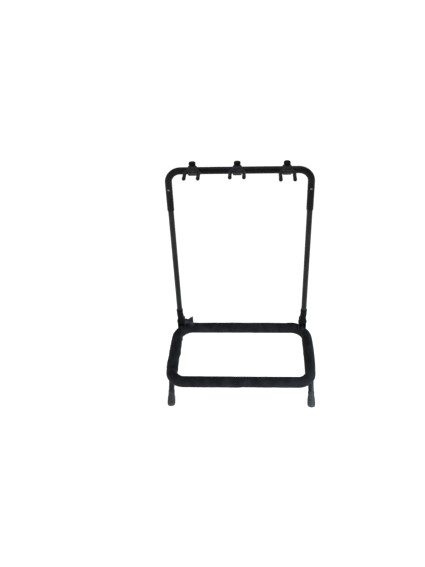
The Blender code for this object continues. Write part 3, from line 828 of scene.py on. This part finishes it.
class RACK_OT_foam_sleeves(bpy.types.Operator):
    """Make the two foam sleeves of the base ring"""

    bl_idname = "rack.foam_sleeves"
    bl_label = "Foam Sleeves"

    def execute(self, context):
        for row, side in ROWS.items():
            bm = cut(self.sleeve(context.scene.rack_foam, row, side), *self.openings(row))
            bm.normal_update()
            if row == "rear":
                self.puff(bm)
            for column in SIDES:
                self.lip(bm, *leg_line(row, column))
            made = piece(f"{row}_foam_sleeve", bm, f"{row}_foam", crease=50)
        return {"FINISHED"}

    def sleeve(self, foam, row, side):
        """A half ring of foam tube that meets the other half in the middle of the ring's sides."""
        bend = BENDS[row]
        rear = row == "rear"
        arm, corner = ("run", RING_Y - bend), ("turn", bend, -side * pi / 2)
        moves = [arm, corner, ("run", 2 * (RING_X - bend)), corner, arm]
        stops = route((-RING_X, 0, RING_Z), (0, side, 0), Z_AXIS, moves, 0.0026)
        along = [0.0]
        for before, after in zip(stops, stops[1:]):
            along.append(along[-1] + (after[0] - before[0]).length)

        def radius(angle, n):
            spot, _, turn = stops[n]
            inward = -side * cos(angle)
            inner_side, outer_side, bent = max(0.0, inward), max(0.0, -inward), abs(turn)
            wave = 0.5 + 0.5 * cos(tau * along[n] / FOLD_SPACING + 2.2 * noise.noise(spot * 60))
            r = foam.radius
            r -= foam.wrinkle * bent * inner_side**1.3 * wave
            r += foam.bunching[rear] * bent * inner_side
            corner_x, corner_y = copysign(RING_X - 0.3 * bend, spot.x), side * (RING_Y - 0.3 * bend)
            from_corner = (spot - Vector((corner_x, corner_y, RING_Z))).length
            r -= foam.stretch[rear] * hill(from_corner, 1.05 * bend) * outer_side
            point = spot + Vector((cos(angle), sin(angle), 0.7 * sin(angle))) * 0.02
            r += foam.unevenness * (noise.noise(point * 22) + 0.5 * noise.noise(point * 70))
            if rear:
                crown = hill(abs(spot.x) - CROWN_X, CROWN_REACH)
                r += foam.fullness * CROWN_SHARE * crown * max(0.0, sin(angle))
            for middle, reach, inner, outer in LOOSE_PARTS[row, "left" if spot.x < 0 else "right"]:
                loose = foam.fullness * hill(spot.y - middle, reach)
                r += loose * (inner * inner_side + outer * outer_side)
            from_end = min(along[n], along[-1] - along[n])
            return r + SEAM_SWELL[row] * hill(from_end, SEAM_REACH) - END_FALL * hill(from_end, END_REACH)

        return open_tube(stops, Z_AXIS, radius, RAIL_R + GAP, 56, 0.0010)

    def openings(self, row):
        """Room for the legs, and on the rear sleeve for the hinge brackets."""
        tools = []
        for column in SIDES:
            top, floor, way = leg_line(row, column)
            tools.append(rod(LEG_R + 2 * GAP, floor + way * 0.03, top, 40))
            if row == "rear":
                tools.append(self.bracket_slot(SIDES[column]))
        return tools

    def bracket_slot(self, side):
        """Room for the bracket's sheet alone, so that foam stays between its cheeks."""
        near, far, wide = KNUCKLE_OUT, KNUCKLE_IN, SHEET + 2 * GAP
        back, front = KNUCKLE_R, BRACKET_FRONT - GAP
        plan = [(-near, front), (-near, back), (far, back), (far, front)]
        plan += [(far + wide, front), (far + wide, back + wide, 0.0034), (-near - wide, back + wide, 0.0034)]
        plan += [(-near - wide, front)]
        plan = [(-side * x, y) for x, y in eased(plan, 0.0004, True)]
        bm = slab(plan, BRACKET_FOOT_Z - GAP, RING_Z + 0.05)
        bmesh.ops.translate(bm, vec=at_upright(side, 0), verts=bm.verts)
        return bm

    def puff(self, bm):
        """Lets the rear foam swell up between the cheeks of each bracket."""
        half = (KNUCKLE_IN + KNUCKLE_OUT) / 2
        for vert in bm.verts:
            off_x = (abs(vert.co.x) - UPRIGHT_X + (KNUCKLE_IN - KNUCKLE_OUT) / 2) / half
            off_y = vert.co.y - PIVOT.y
            above = vert.co.z > RING_Z + RAIL_R + PUFF_OVER_RAIL
            if above and abs(off_x) < 1 and -PUFF_FRONT < off_y < KNUCKLE_R:
                vert.co.z += PUFF_RISE * (1 - off_x**2) * min(1.0, (off_y + PUFF_FRONT) / PUFF_RUN)

    def lip(self, bm, top, floor, way):
        """Lets the foam swell round a leg."""
        for vert in bm.verts:
            off = vert.co - floor
            away = (off - way * off.dot(way)).length - LEG_R
            if LIP_NEAREST < away < LIP_FURTHEST and off.dot(way) < (top - floor).length * 0.95:
                vert.co += vert.normal * LIP_RISE * hill(away - LIP_AWAY, LIP_REACH)


class RACK_OT_base_tubes(bpy.types.Operator):
    """Finish the rails and plugs in the ring, and make the four legs"""

    bl_idname = "rack.base_tubes"
    bl_label = "Base Tubes"

    def execute(self, context):
        refinish("front_rail", "rear_rail", "left_rail_plug", "right_rail_plug")
        for row in ROWS:
            for column in SIDES:
                refinish(f"{column}_{row}_plug_screw")
                bm = cut(self.leg(row, column), rail_corner(row, column, 0.01))
                piece(f"{row}_{column}_leg_tube", bm, f"{row}_{column}_leg")
        return {"FINISHED"}

    def leg(self, row, column):
        """A straight tube from inside the foot to the rail."""
        top, floor, way = leg_line(row, column)
        across = (X_AXIS - way * way.x).normalized()
        length = (top - floor).length - LEG_SHORT - LEG_START
        stops = route(floor + way * LEG_START, way, across, [("run", length)], 0.006)
        return open_tube(stops, across, LEG_R, LEG_R - LEG_WALL, 40)


class RACK_OT_feet(bpy.types.Operator):
    """Make the ribbed rubber feet"""

    bl_idname = "rack.feet"
    bl_label = "Rubber Feet"

    def execute(self, context):
        for row in ROWS:
            for column in SIDES:
                _, floor, way = leg_line(row, column)
                piece(f"{row}_{column}_rubber_foot", self.foot(way), f"{row}_{column}_foot", floor)
        return {"FINISHED"}

    def foot(self, way):
        """A rubber cap in line with its leg, with rings round it, cut flat where it meets the floor."""
        bore, neck, ring = LEG_R + GAP, 0.0121, 0.0126
        outline = [(0, 0.0145), (bore, 0.0145), (bore, FOOT_RISE, 0.0004), (0.0119, FOOT_RISE, 0.0004)]
        outline += [(ring, FOOT_RISE - 0.0016), (ring, FOOT_RISE - 0.0046), (neck, FOOT_RISE - 0.0056)]
        for n in range(2):
            z = FOOT_RISE - 0.0086 - n * 0.0048
            outline += [(neck, z), (ring, z - 0.0008), (ring, z - 0.0024), (neck, z - 0.0032)]
        outline += [(ring, 0.0335), (0.0141, 0.0260, 0.003), (0.0149, 0.0140, 0.003), (FOOT_R, 0.0080, 0.002)]
        outline += [(FOOT_R, 0.0, 0.002), (0.0142, -0.006), (0.0105, -0.0095), (0.0105, -0.020), (0, -0.020)]
        bm = turned(eased(outline, 0.0005), 48)
        bmesh.ops.rotate(bm, matrix=Z_AXIS.rotation_difference(way).to_matrix(), verts=bm.verts)
        everything = bm.verts[:] + bm.edges[:] + bm.faces[:]
        sliced = bmesh.ops.bisect_plane(
            bm, geom=everything, plane_co=(0, 0, 0.0005), plane_no=(0, 0, -1), clear_outer=True
        )
        rim = [part for part in sliced["geom_cut"] if isinstance(part, bmesh.types.BMEdge)]
        face = bmesh.ops.contextual_create(bm, geom=rim)["faces"][0]
        for shrink, z in ((0.965, 0.0), (0.80, 0.0), (0.97, 0.0008)):
            face = bmesh.ops.extrude_discrete_faces(bm, faces=[face])["faces"][0]
            middle = face.calc_center_median()
            for vert in face.verts:
                vert.co = middle + (vert.co - middle) * shrink
                vert.co.z = z
        return bm


class RACK_OT_hinge_brackets(bpy.types.Operator):
    """Make the folded steel channels that carry the back frame"""

    bl_idname = "rack.hinge_brackets"
    bl_label = "Hinge Brackets"

    def execute(self, context):
        for column, side in SIDES.items():
            bm = cut(self.channel(side), *self.trimmings())
            rail = rail_corner("rear", column, 0.006)
            bmesh.ops.translate(rail, vec=-at_upright(side), verts=rail.verts)
            bm = cut(bm, rod(BOLT_HOLE_R, (-0.05, 0, 0), (0.05, 0, 0), 40), rail)
            edges = {"width": 0.00045, "segments": 2, "limit_method": "ANGLE", "angle_limit": radians(50)}
            bm = through_modifiers(bm, ("BEVEL", edges))
            piece(f"{column}_bracket_channel", bm, f"{column}_hinge_bracket", at_upright(side), crease=30)
        return {"FINISHED"}

    def channel(self, side):
        """Sheet folded round three sides of the knuckle, higher and deeper than the finished bracket."""
        near, far = -(KNUCKLE_OUT + GAP + SHEET / 2), KNUCKLE_IN + GAP + SHEET / 2
        back, front = KNUCKLE_R + GAP + SHEET / 2, BRACKET_FRONT
        low, high = BRACKET_FOOT_Z - PIVOT.z, BRACKET_TOP_Z - PIVOT.z
        plan = eased([(near, front), (near, back), (far, back), (far, front)], 0.0034)
        bm = bmesh.new()
        line = [bm.verts.new((-side * x, y, low - 0.01)) for x, y in plan]
        strip = [bm.edges.new(pair) for pair in zip(line, line[1:])]
        risen = bmesh.ops.extrude_edge_only(bm, edges=strip)["geom"]
        tops = [part for part in risen if isinstance(part, bmesh.types.BMVert)]
        bmesh.ops.translate(bm, vec=(0, 0, high - low + 0.02), verts=tops)
        return through_modifiers(bm, ("SOLIDIFY", {"thickness": SHEET, "offset": 0, "use_even_offset": True}))

    def trimmings(self):
        """What is cut off the channel, above its rounded front and below its foot."""
        front, low, top = BRACKET_FRONT, BRACKET_FOOT_Z - PIVOT.z, BRACKET_TOP_Z - PIVOT.z + 0.02
        arc = [(front * cos(radians(a)), -front * sin(radians(a))) for a in range(0, 91, 9)]
        outside = [(front - 0.01, low), (front, low)] + arc
        outside += [(0.03, -front), (0.03, top), (front - 0.01, top)]
        under = [(front - 0.02, low - 0.02), (0.04, low - 0.02), (0.04, low), (front - 0.02, low)]
        return [slab(outline, -0.05, 0.05, "YZX") for outline in (outside, under)]


class RACK_OT_pivots(bpy.types.Operator):
    """Make the pivot bolt with its washer and wing knob, and the rivet"""

    bl_idname = "rack.pivots"
    bl_label = "Pivots"

    def execute(self, context):
        outside, inside = -(KNUCKLE_OUT + 2 * GAP + SHEET), KNUCKLE_IN + 2 * GAP + SHEET
        end = inside + 0.0016
        left, right = at_upright(-1), at_upright(1)
        head = [(0, outside - 0.0028), (0.0040, outside - 0.0026, 0.002), (0.0070, outside - 0.0012, 0.001)]
        head += [(0.0078, outside - 0.0001, 0.0002), (0.0078, outside)]
        shank = [(BOLT_R, outside), (BOLT_R, inside + 0.019), (0.0034, inside + 0.020), (0, inside + 0.020)]
        bolt = turned(eased(head + shank, 0.0003), 48, X_AXIS)
        piece("left_pivot_carriage_bolt", bolt, "left_pivot_bolt", left)
        peened = [(BOLT_R, outside), (BOLT_R, inside), (0.0066, inside), (0.0060, inside + 0.0015, 0.0007)]
        peened += [(0.0030, inside + 0.0022, 0.0008), (0.0012, inside + 0.0016, 0.0004), (0, inside + 0.0015)]
        rivet = mirrored(turned(eased(head + peened, 0.0003), 48, X_AXIS))
        piece("right_pivot_peened_rivet", rivet, "right_pivot_rivet", right)
        ring = [(BOLT_HOLE_R, inside), (0.010, inside), (0.010, end), (BOLT_HOLE_R, end)]
        washer = turned(eased(ring, 0.0003, True), 48, X_AXIS)
        piece("left_pivot_plain_washer", washer, "left_pivot_washer", left, finish="dull_zinc")
        knob = self.wing_knob(end + GAP, context.scene.rack_moulded.fineness)
        # The wing knob gets the lighter copy of the nylon, which is painted light.
        piece("left_wing_knob", knob, "wing_knob", left, crease=60, finish="collar_nylon")
        return {"FINISHED"}

    def wing_knob(self, start, fineness):
        """A nylon hub with two wings, moulded in one, and a blind hole for the bolt."""
        hub = [(0, 0), (0.0104, 0, 0.0006), (0.0112, 0.0012, 0.0006), (0.0110, 0.0036, 0.001)]
        hub += [(0.0094, 0.0068, 0.003), (0.0090, 0.017, 0.004), (0.0098, 0.027, 0.002)]
        hub += [(0.0088, 0.0306, 0.002), (0.005, 0.0321, 0.002), (0, 0.0323)]
        hub = [(r, start + x, *ease) for r, x, *ease in hub]
        wing = [(0.008, 0.0030), (0.011, 0.0085, 0.004), (0.0248, 0.0220, 0.001), (0.0269, 0.0240, 0.002)]
        wing += [(0.0302, 0.0240, 0.002), (0.0319, 0.0219, 0.002), (0.0315, 0.0030)]
        wing = eased([(start + x, *rest) for x, *rest in wing], 0.002, True)
        rib = [(start + x, r) for x, r in ((0.018, 0.008), (0.031, 0.008), (0.030, 0.0175))]
        shapes = [turned(eased(hub, 0.0004), 64, X_AXIS)]
        for side in (1, -1):
            for outline, half in ((wing, 0.0027), (rib, 0.0040)):
                shapes.append(slab([(x, side * r) for x, r in outline], -half, half, "XZY"))
        bm = moulded_shape(*shapes, fineness=fineness * 0.85, smoothing=5)
        return cut(bm, rod(BOLT_HOLE_R, (start - 0.01, 0, 0), (start + 0.0195, 0, 0), 40))


class RACK_OT_shoes(bpy.types.Operator):
    """Make the moulded shoes of the uprights and their screws"""

    bl_idname = "rack.shoes"
    bl_label = "Upright Shoes"

    def execute(self, context):
        for column, side in SIDES.items():
            bm = self.shoe(context.scene.rack_moulded.fineness)
            if side > 0:
                bm = mirrored(bm)
            name = f"{column}_shoe"
            # The shoe gets the darker copy of the nylon, which is painted shade.
            piece(name, bm, f"{column}_upright_shoe", at_upright(side), crease=60, finish="knob_nylon")
            bm = cross_screw(0.0034, KNUCKLE_R + GAP, SHOE_SCREW_R, 0.006, Y_AXIS)
            piece(f"{name}_cross_screw", bm, f"{name}_screw", at_upright(side, SHOE_SCREW_Z))
        return {"FINISHED"}

    def shoe(self, fineness):
        """A wide knuckle on the pivot that grows up into a round socket, for the left side."""
        middle, half = (KNUCKLE_IN - KNUCKLE_OUT) / 2, (KNUCKLE_IN + KNUCKLE_OUT) / 2
        barrel = [(0, -KNUCKLE_OUT), (KNUCKLE_R, -KNUCKLE_OUT), (KNUCKLE_R, KNUCKLE_IN), (0, KNUCKLE_IN)]
        top, collar = SHOE_TOP_Z - PIVOT.z, KNUCKLE_R - 0.0002
        # Height, middle and half width in X, and corner radius, from the pivot up
        keys = [(0.000, middle, half, 0.002), (0.015, middle, half, 0.0022)]
        keys += [(0.027, middle * 0.5, half * 1.02, 0.008)]
        keys += [(0.044, 0, collar, collar), (top, 0, collar, collar)]
        rows = []
        for low, high in zip(keys, keys[1:]):
            for step in range(8):
                share = step / 8
                ease = share * share * (3 - 2 * share)
                z = low[0] + (high[0] - low[0]) * share
                x, wide, corner = (a + (b - a) * ease for a, b in zip(low[1:], high[1:]))
                rows.append(soft_rectangle(x, wide, KNUCKLE_R, min(corner, wide), z))
        for r, z in ((collar, top - 0.0010), (collar - 0.0008, top)):
            rows.append(soft_rectangle(0, r, r, r, z))
        inner, outer = collar - 0.003, collar + 0.0006
        bead = [(inner, top - 0.0075), (outer, top - 0.0068), (outer, top - 0.0020), (inner, top - 0.0012)]
        shapes = [turned(eased(barrel, 0.0020), 72, X_AXIS), skin(rows, caps=True)]
        bm = moulded_shape(*shapes, turned(eased(bead, 0.0003, True), 72), fineness=fineness, smoothing=3)
        socket = rod(UPRIGHT_R + GAP, (0, 0, 0.0217), (0, 0, top + 0.02), 56)
        bolt_hole = rod(BOLT_HOLE_R, (-0.04, 0, 0), (0.04, 0, 0), 40)
        screw_z = SHOE_SCREW_Z - PIVOT.z
        return cut(bm, socket, bolt_hole, rod(SHOE_SCREW_R + GAP, (0, 0.004, screw_z), (0, 0.03, screw_z)))


def cross_screw(head_r, seat, shank_r, depth, axis):
    """A pan head screw with a cross recess. seat is how far its head sits from the origin along axis."""
    rim = seat + SCREW_HEAD_HIGH * 0.35
    outline = [(0, depth), (shank_r * 0.9, depth + 0.0008), (shank_r, depth + 0.0016), (shank_r, seat)]
    outline += [(head_r, seat), (head_r, rim, 0.0004)]
    for angle in range(25, 90, 13):
        up = seat + SCREW_HEAD_HIGH * (0.35 + 0.65 * sin(radians(angle)))
        outline.append((head_r * cos(radians(angle)) * 1.02, up, 0.0002))
    outline.append((0, seat + SCREW_HEAD_HIGH))
    arm, wide = head_r * 0.56, head_r * 0.13
    blades = []
    for half_x, half_y in ((arm, wide), (wide, arm)):
        rows = []
        for z, share in ((seat + SCREW_HEAD_HIGH * 0.25, 0.35), (seat + SCREW_HEAD_HIGH + 0.001, 1.15)):
            x, y = half_x * (share if half_x == arm else 1), half_y * (share if half_y == arm else 1)
            rows.append([(-x, -y, z), (x, -y, z), (x, y, z), (-x, y, z)])
        blades.append(skin(rows, caps=True))
    return aimed(cut(turned(eased(outline, 0.0002), 40), *blades), axis)


class RACK_OT_uprights(bpy.types.Operator):
    """Make the two uprights"""

    bl_idname = "rack.uprights"
    bl_label = "Uprights"

    def execute(self, context):
        for column, side in SIDES.items():
            run = [("run", UPRIGHT_TOP_Z - UPRIGHT_FOOT_Z)]
            stops = route(at_upright(side, UPRIGHT_FOOT_Z), Z_AXIS, X_AXIS, run, 0.012)
            bm = open_tube(stops, X_AXIS, UPRIGHT_R, UPRIGHT_R - UPRIGHT_WALL, 48, 0.0003)
            high, low = at_upright(side, HOOP_SCREW_Z), at_upright(side, SHOE_SCREW_Z)
            front_hole = rod(HOOP_SCREW_R + GAP, high, high - Y_AXIS * 0.03)
            rear_hole = rod(SHOE_SCREW_R + GAP, low, low + Y_AXIS * 0.03)
            piece(f"{column}_upright_tube", cut(bm, front_hole, rear_hole), f"{column}_upright")
        return {"FINISHED"}


class RACK_OT_hoop(bpy.types.Operator):
    """Make the top hoop with its bushes and screws"""

    bl_idname = "rack.hoop"
    bl_label = "Top Hoop"

    def execute(self, context):
        holes = []
        for column, side in SIDES.items():
            spot = at_upright(side, HOOP_SCREW_Z)
            holes.append(rod(HOOP_SCREW_R + GAP, spot, spot - Y_AXIS * 0.03))
            screw = cross_screw(0.0037, HOOP_R + GAP, HOOP_SCREW_R, 0.0055, -Y_AXIS)
            piece(f"{column}_hoop_cross_screw", screw, f"{column}_hoop_screw", spot)
            piece(f"{column}_end_bush", self.bush(), f"{column}_hoop_bush", at_upright(side, HOOP_FOOT_Z))
        piece("top_hoop_tube", cut(self.hoop(), *holes), "top_hoop", finish="hoop_paint")
        return {"FINISHED"}

    def hoop(self):
        """A tube bent up, across and down, and slightly flat across its bends, as a bent tube is."""
        run, corner = ("run", BAR.z - HOOP_BEND - HOOP_FOOT_Z), ("turn", HOOP_BEND, pi / 2)
        moves = [run, corner, ("run", 2 * (UPRIGHT_X - HOOP_BEND)), corner, run]
        stops = route(at_upright(-1, HOOP_FOOT_Z), Z_AXIS, Y_AXIS, moves, 0.006)

        def radius(angle, n):
            return HOOP_R * (1 - 0.018 * abs(stops[n][2]) * cos(2 * angle))

        return open_tube(stops, Y_AXIS, radius, HOOP_R - HOOP_WALL, 56, 0.0003)

    def bush(self):
        """A liner between upright and hoop, with a rim under the hoop's end."""
        inner, outer = UPRIGHT_R + GAP, HOOP_R - HOOP_WALL - GAP
        ring = [(inner, -0.0025, 0.0004), (HOOP_R, -0.0025, 0.0008), (HOOP_R, -GAP, 0.0003), (outer, -GAP)]
        ring += [(outer, 0.04), (inner, 0.04)]
        return turned(eased(ring, 0.0002, True), 56)


class RACK_OT_yokes(bpy.types.Operator):
    """Make the neck yokes: collars, liners and sleeved prongs"""

    bl_idname = "rack.yokes"
    bl_label = "Neck Yokes"

    def execute(self, context):
        for column in COLUMNS:
            spot, turn = yoke_place(column)
            name = f"{column}_yoke"
            refinish(f"{name}_rod")
            collar = self.collar(context.scene.rack_moulded.fineness)
            # The collar gets the lighter copy of the nylon, which is painted light.
            piece(f"{name}_collar", collar, f"{name}_body", spot, turn, 60, "collar_nylon")
            piece(f"{name}_bearing", self.liner(), f"{name}_liner", spot, turn)
            for side, side_x in SIDES.items():
                place = spot + Matrix.Rotation(turn[0], 3, "X") @ Vector((side_x * PRONG_X, 0, PRONG_Z))
                prong, tube = f"{name}_{side}", self.sleeve()
                piece(f"{prong}_prong_sleeve", tube, f"{prong}_sleeve", place, turn, finish="sleeve_rubber")
        return {"FINISHED"}

    def collar(self, fineness):
        """A tube round the bar, arms that bend forward to the prongs, an apron between and a boss on top."""
        tube = [(COLLAR_BORE, -COLLAR_HALF), (COLLAR_R, -COLLAR_HALF, 0.001), (COLLAR_R, COLLAR_HALF, 0.001)]
        tube += [(COLLAR_BORE, COLLAR_HALF)]
        rows = []
        for step in range(13):
            share = step / 12
            angle, half = radians(96 + 76 * share), 0.0088 + 0.0222 * share**1.5
            ray = Vector((0, cos(angle), sin(angle)))
            inner, outer = ray * 0.0164, ray * 0.0215
            rows.append([(-half, *inner.yz), (half, *inner.yz), (half, *outer.yz), (-half, *outer.yz)])
        boss = [(0, 0.0155), (0.0135, 0.0155), (0.0125, 0.0182), (BOSS_R, BOSS_TOP, 0.0006), (0, BOSS_TOP)]
        shapes = [turned(eased(tube, 0.0003, True), 72, X_AXIS), arm_shape(ARM_R, ARM_REACH, 40, 0.0012)]
        shapes += [skin(rows, caps=True), turned(eased(boss, 0.0004), 56)]
        bm = moulded_shape(*shapes, fineness=fineness)
        bore = rod(COLLAR_BORE, (-0.03, 0, 0), (0.03, 0, 0), 72)
        rod_hole = arm_shape(ROD_R + GAP, 0.04, 24)
        stud_hole = rod(STUD_R + 2 * GAP, (0, 0, 0.008), (0, 0, 0.03))
        return cut(bm, bore, rod_hole, stud_hole)

    def liner(self):
        """A thin lining between collar and bar, with a lip at each end."""
        near, far = COLLAR_HALF + GAP, COLLAR_HALF + GAP + LIP_WIDE
        ring = [(LINER_BORE, -far), (LIP_R, -far), (LIP_R, -near), (LINER_R, -near)]
        ring += [(LINER_R, near), (LIP_R, near), (LIP_R, far), (LINER_BORE, far)]
        return turned(eased(ring, 0.0003, True), 56, X_AXIS)

    def sleeve(self):
        """A soft tube that swells to a round tip."""
        start, end, shaft, tip = ARM_REACH + GAP, PRONG_REACH - 0.006 + 2 * GAP, 0.0064, 0.0069
        outline = [(ROD_R + GAP, start), (shaft - 0.0005, start, 0.0003), (shaft, start + 0.0012, 0.0006)]
        outline += [(shaft - 0.0002, start + 0.020, 0.01), (shaft, PRONG_REACH - 0.016, 0.006)]
        outline += [(tip, PRONG_REACH - 0.009, 0.004)]
        for angle in range(10, 90, 10):
            reach = PRONG_REACH - 0.0065 + 0.0065 * sin(radians(angle))
            outline.append((tip * cos(radians(angle)), reach, 0.0004))
        outline += [(0, PRONG_REACH)]
        lining = turned([(ROD_R + GAP, start), (ROD_R + GAP, end), (0, end)], 40, -Y_AXIS, closed=False)
        bm = joined(turned(eased(outline, 0.0003), 40, -Y_AXIS, closed=False), lining)
        bmesh.ops.remove_doubles(bm, verts=bm.verts, dist=1e-6)
        return bm


def yoke_place(column):
    """Where a yoke sits on the bar, and how far it is tilted up, as a turn about X."""
    axis = Vector(JOINTS[f"{column}_knob_turn"]["axis"])
    return Vector(JOINTS[f"{column}_yoke_tilt"]["pos_m"]), (-atan2(axis.y, axis.z), 0, 0)


def arm_shape(radius, reach, sides, edge=0.0):
    """A rod bent to a U that lies flat in front of the bar, its ends pointing forward."""
    prong, corner = ("run", reach + ARM_Y - ARM_BEND), ("turn", ARM_BEND, -pi / 2)
    moves = [prong, corner, ("run", 2 * (PRONG_X - ARM_BEND)), corner, prong]
    stops = route((-PRONG_X, -reach, PRONG_Z), Y_AXIS, Z_AXIS, moves, 0.002)
    rows = [hoop_of(spot, course, Z_AXIS, radius, sides) for spot, course, _ in stops]
    for end in (0, -1):
        rows[end] = hoop_of(*stops[end][:2], Z_AXIS, radius - edge, sides)
    return skin(rows, caps=True)


class RACK_OT_lock_knobs(bpy.types.Operator):
    """Make the lock knobs of the yokes"""

    bl_idname = "rack.lock_knobs"
    bl_label = "Lock Knobs"

    def execute(self, context):
        for column in COLUMNS:
            refinish(f"{column}_yoke_stud")
            knob = self.knob()
            # The lock knob gets the darker copy of the nylon, which is painted shade.
            piece(f"{column}_lock_knob", knob, f"{column}_yoke_knob", *yoke_place(column), 50, "knob_nylon")
        return {"FINISHED"}

    def knob(self, lobes=8, points=96):
        """A lobed grip with a domed, slightly dished top and a blind hole for the stud."""
        base, waist = BOSS_TOP + GAP, 0.0085
        side = [(0.0100, base), (0.0112, base, 0.0008), (KNOB_R, base + 0.0020, 0.0012)]
        side += [(KNOB_R, KNOB_TOP - 0.0026, 0.0016), (0.0108, KNOB_TOP - 0.0006, 0.0012)]
        side += [(0.0072, KNOB_TOP, 0.0008), (0.0064, KNOB_TOP - 0.0007, 0.0004)]
        side += [(0.0030, KNOB_TOP - 0.0005, 0.001)]
        rows = []
        for radius, z in eased(side, 0.0006):
            depth = 0.0013 * max(0.0, (radius - waist) / (KNOB_R - waist))
            row = []
            for n in range(points):
                angle = tau * n / points
                r = radius - depth * (0.5 + 0.5 * cos(lobes * angle)) ** 1.6
                row.append((r * cos(angle), r * sin(angle), z))
            rows.append(row)
        return cut(skin(rows, caps=True), rod(STUD_R + GAP, (0, 0, base - 0.002), (0, 0, base + 0.0075)))


class RACK_OT_stage(bpy.types.Operator):
    """Make the floor, the lights and the camera"""

    bl_idname = "rack.stage"
    bl_label = "Stage"

    def execute(self, context):
        scene, stage = context.scene, context.scene.rack_stage
        self.floor(scene, stage)
        self.surround(scene)
        for name, light in LIGHTS.items():
            self.soft_light(scene, f"{name}_light", getattr(stage, f"{name}_power"), *light)
        self.camera(scene, stage)
        return {"FINISHED"}

    def floor(self, scene, stage):
        """A pale floor that glows a little, and more far off, where the lights don't reach."""
        half = FLOOR_HALF
        mesh = bpy.data.meshes.new("studio_floor")
        corners = [(-half, -half, 0), (half, -half, 0), (half, half, 0), (-half, half, 0)]
        mesh.from_pydata(corners, [], [(0, 1, 2, 3)])
        matt = Finish("pale_floor", 0.85)
        matt.use("Base Color", matt.mix(matt.noise(0.8, 2), stage.floor, shade_of(stage.floor, 0.985)))
        matt.set("Emission Color", (1, 1, 1, 1))
        distance = matt.add("ShaderNodeVectorMath", {0: matt.place()}, operation="LENGTH").outputs["Value"]
        matt.use("Emission Strength", matt.spread(distance, GLOW_FROM, GLOW_TO, *stage.glow))
        matt.set("Specular IOR Level", 0.1)
        mesh.materials.append(matt.material)
        floor = bpy.data.objects.new("studio_floor", mesh)
        scene.collection.objects.link(floor)

    def surround(self, scene):
        """A pale world that is brightest level with the rack and dark overhead."""
        world = bpy.data.worlds.new("studio_surround")
        world.use_nodes = True
        nodes, links = world.node_tree.nodes, world.node_tree.links
        place = nodes.new("ShaderNodeTexCoord")
        split = nodes.new("ShaderNodeSeparateXYZ")
        ramp = nodes.new("ShaderNodeMapRange")
        for name, value in (("From Max", SKY_RISE), ("To Min", SKY_LEVEL), ("To Max", SKY_OVERHEAD)):
            ramp.inputs[name].default_value = value
        links.new(place.outputs["Generated"], split.inputs[0])
        links.new(split.outputs["Z"], ramp.inputs["Value"])
        links.new(ramp.outputs[0], nodes["Background"].inputs["Strength"])
        nodes["Background"].inputs["Color"].default_value = (1, 1, 1, 1)
        scene.world = world

    def soft_light(self, scene, name, power, spot, target, size, spread, colour):
        """A round soft light that the camera doesn't see."""
        light = bpy.data.lights.new(name, "AREA")
        light.shape, light.size, light.energy, light.color = "DISK", size, power, colour
        light.spread = radians(spread)
        lamp = bpy.data.objects.new(name, light)
        scene.collection.objects.link(lamp)
        lamp.location = spot
        lamp.visible_camera = False
        lamp.rotation_euler = (Vector(target) - Vector(spot)).to_track_quat("-Z", "Y").to_euler()

    def camera(self, scene, stage):
        """The photograph's angle."""
        pitch, yaw, roll = stage.pitch, stage.yaw, stage.roll
        ahead = Vector((sin(yaw) * cos(pitch), cos(yaw) * cos(pitch), -sin(pitch)))
        right = Vector((cos(yaw), -sin(yaw), 0))
        up = right.cross(ahead)
        turned_right = right * cos(roll) + up * sin(roll)
        turned_up = up * cos(roll) - right * sin(roll)
        data = bpy.data.cameras.new("photo_camera")
        data.lens, data.sensor_width = stage.lens, 36.0
        data.clip_start, data.clip_end = 0.05, 200
        camera = bpy.data.objects.new("photo_camera", data)
        scene.collection.objects.link(camera)
        frame_axes = Matrix((turned_right, turned_up, -ahead)).transposed().to_4x4()
        camera.matrix_world = Matrix.Translation(stage.camera_place) @ frame_axes
        scene.camera = camera
        scene.view_settings.view_transform = "Standard"


# The add-on

OPERATORS = (
    RACK_OT_stage, RACK_OT_foam_sleeves, RACK_OT_base_tubes, RACK_OT_feet, RACK_OT_hinge_brackets,
    RACK_OT_pivots, RACK_OT_shoes, RACK_OT_uprights, RACK_OT_hoop, RACK_OT_yokes, RACK_OT_lock_knobs,
)
SETTINGS = {
    "rack_foam": RackFoamSettings,
    "rack_steel": RackSteelSettings,
    "rack_moulded": RackMouldedSettings,
    "rack_stage": RackStageSettings,
}


class RACK_PT_panel(bpy.types.Panel):
    """Lists the settings and the operators"""

    bl_label = "Guitar Rack"
    bl_idname = "RACK_PT_panel"
    bl_space_type = "VIEW_3D"
    bl_region_type = "UI"
    bl_category = "Rack"

    def draw(self, context):
        for name, group in SETTINGS.items():
            box = self.layout.box()
            box.label(text=name.replace("rack_", "").title())
            for setting in group.__annotations__:
                box.prop(getattr(context.scene, name), setting)
        for operator in OPERATORS:
            self.layout.operator(operator.bl_idname)


def register():
    for cls in (*SETTINGS.values(), *OPERATORS, RACK_PT_panel):
        bpy.utils.register_class(cls)
    for name, group in SETTINGS.items():
        setattr(bpy.types.Scene, name, bpy.props.PointerProperty(type=group))


def unregister():
    for name in SETTINGS:
        delattr(bpy.types.Scene, name)
    for cls in reversed((*SETTINGS.values(), *OPERATORS, RACK_PT_panel)):
        bpy.utils.unregister_class(cls)


def main():
    register()
    for operator in OPERATORS:
        family, action = operator.bl_idname.split(".")
        getattr(getattr(bpy.ops, family), action)()


if __name__ == "__main__":
    main()
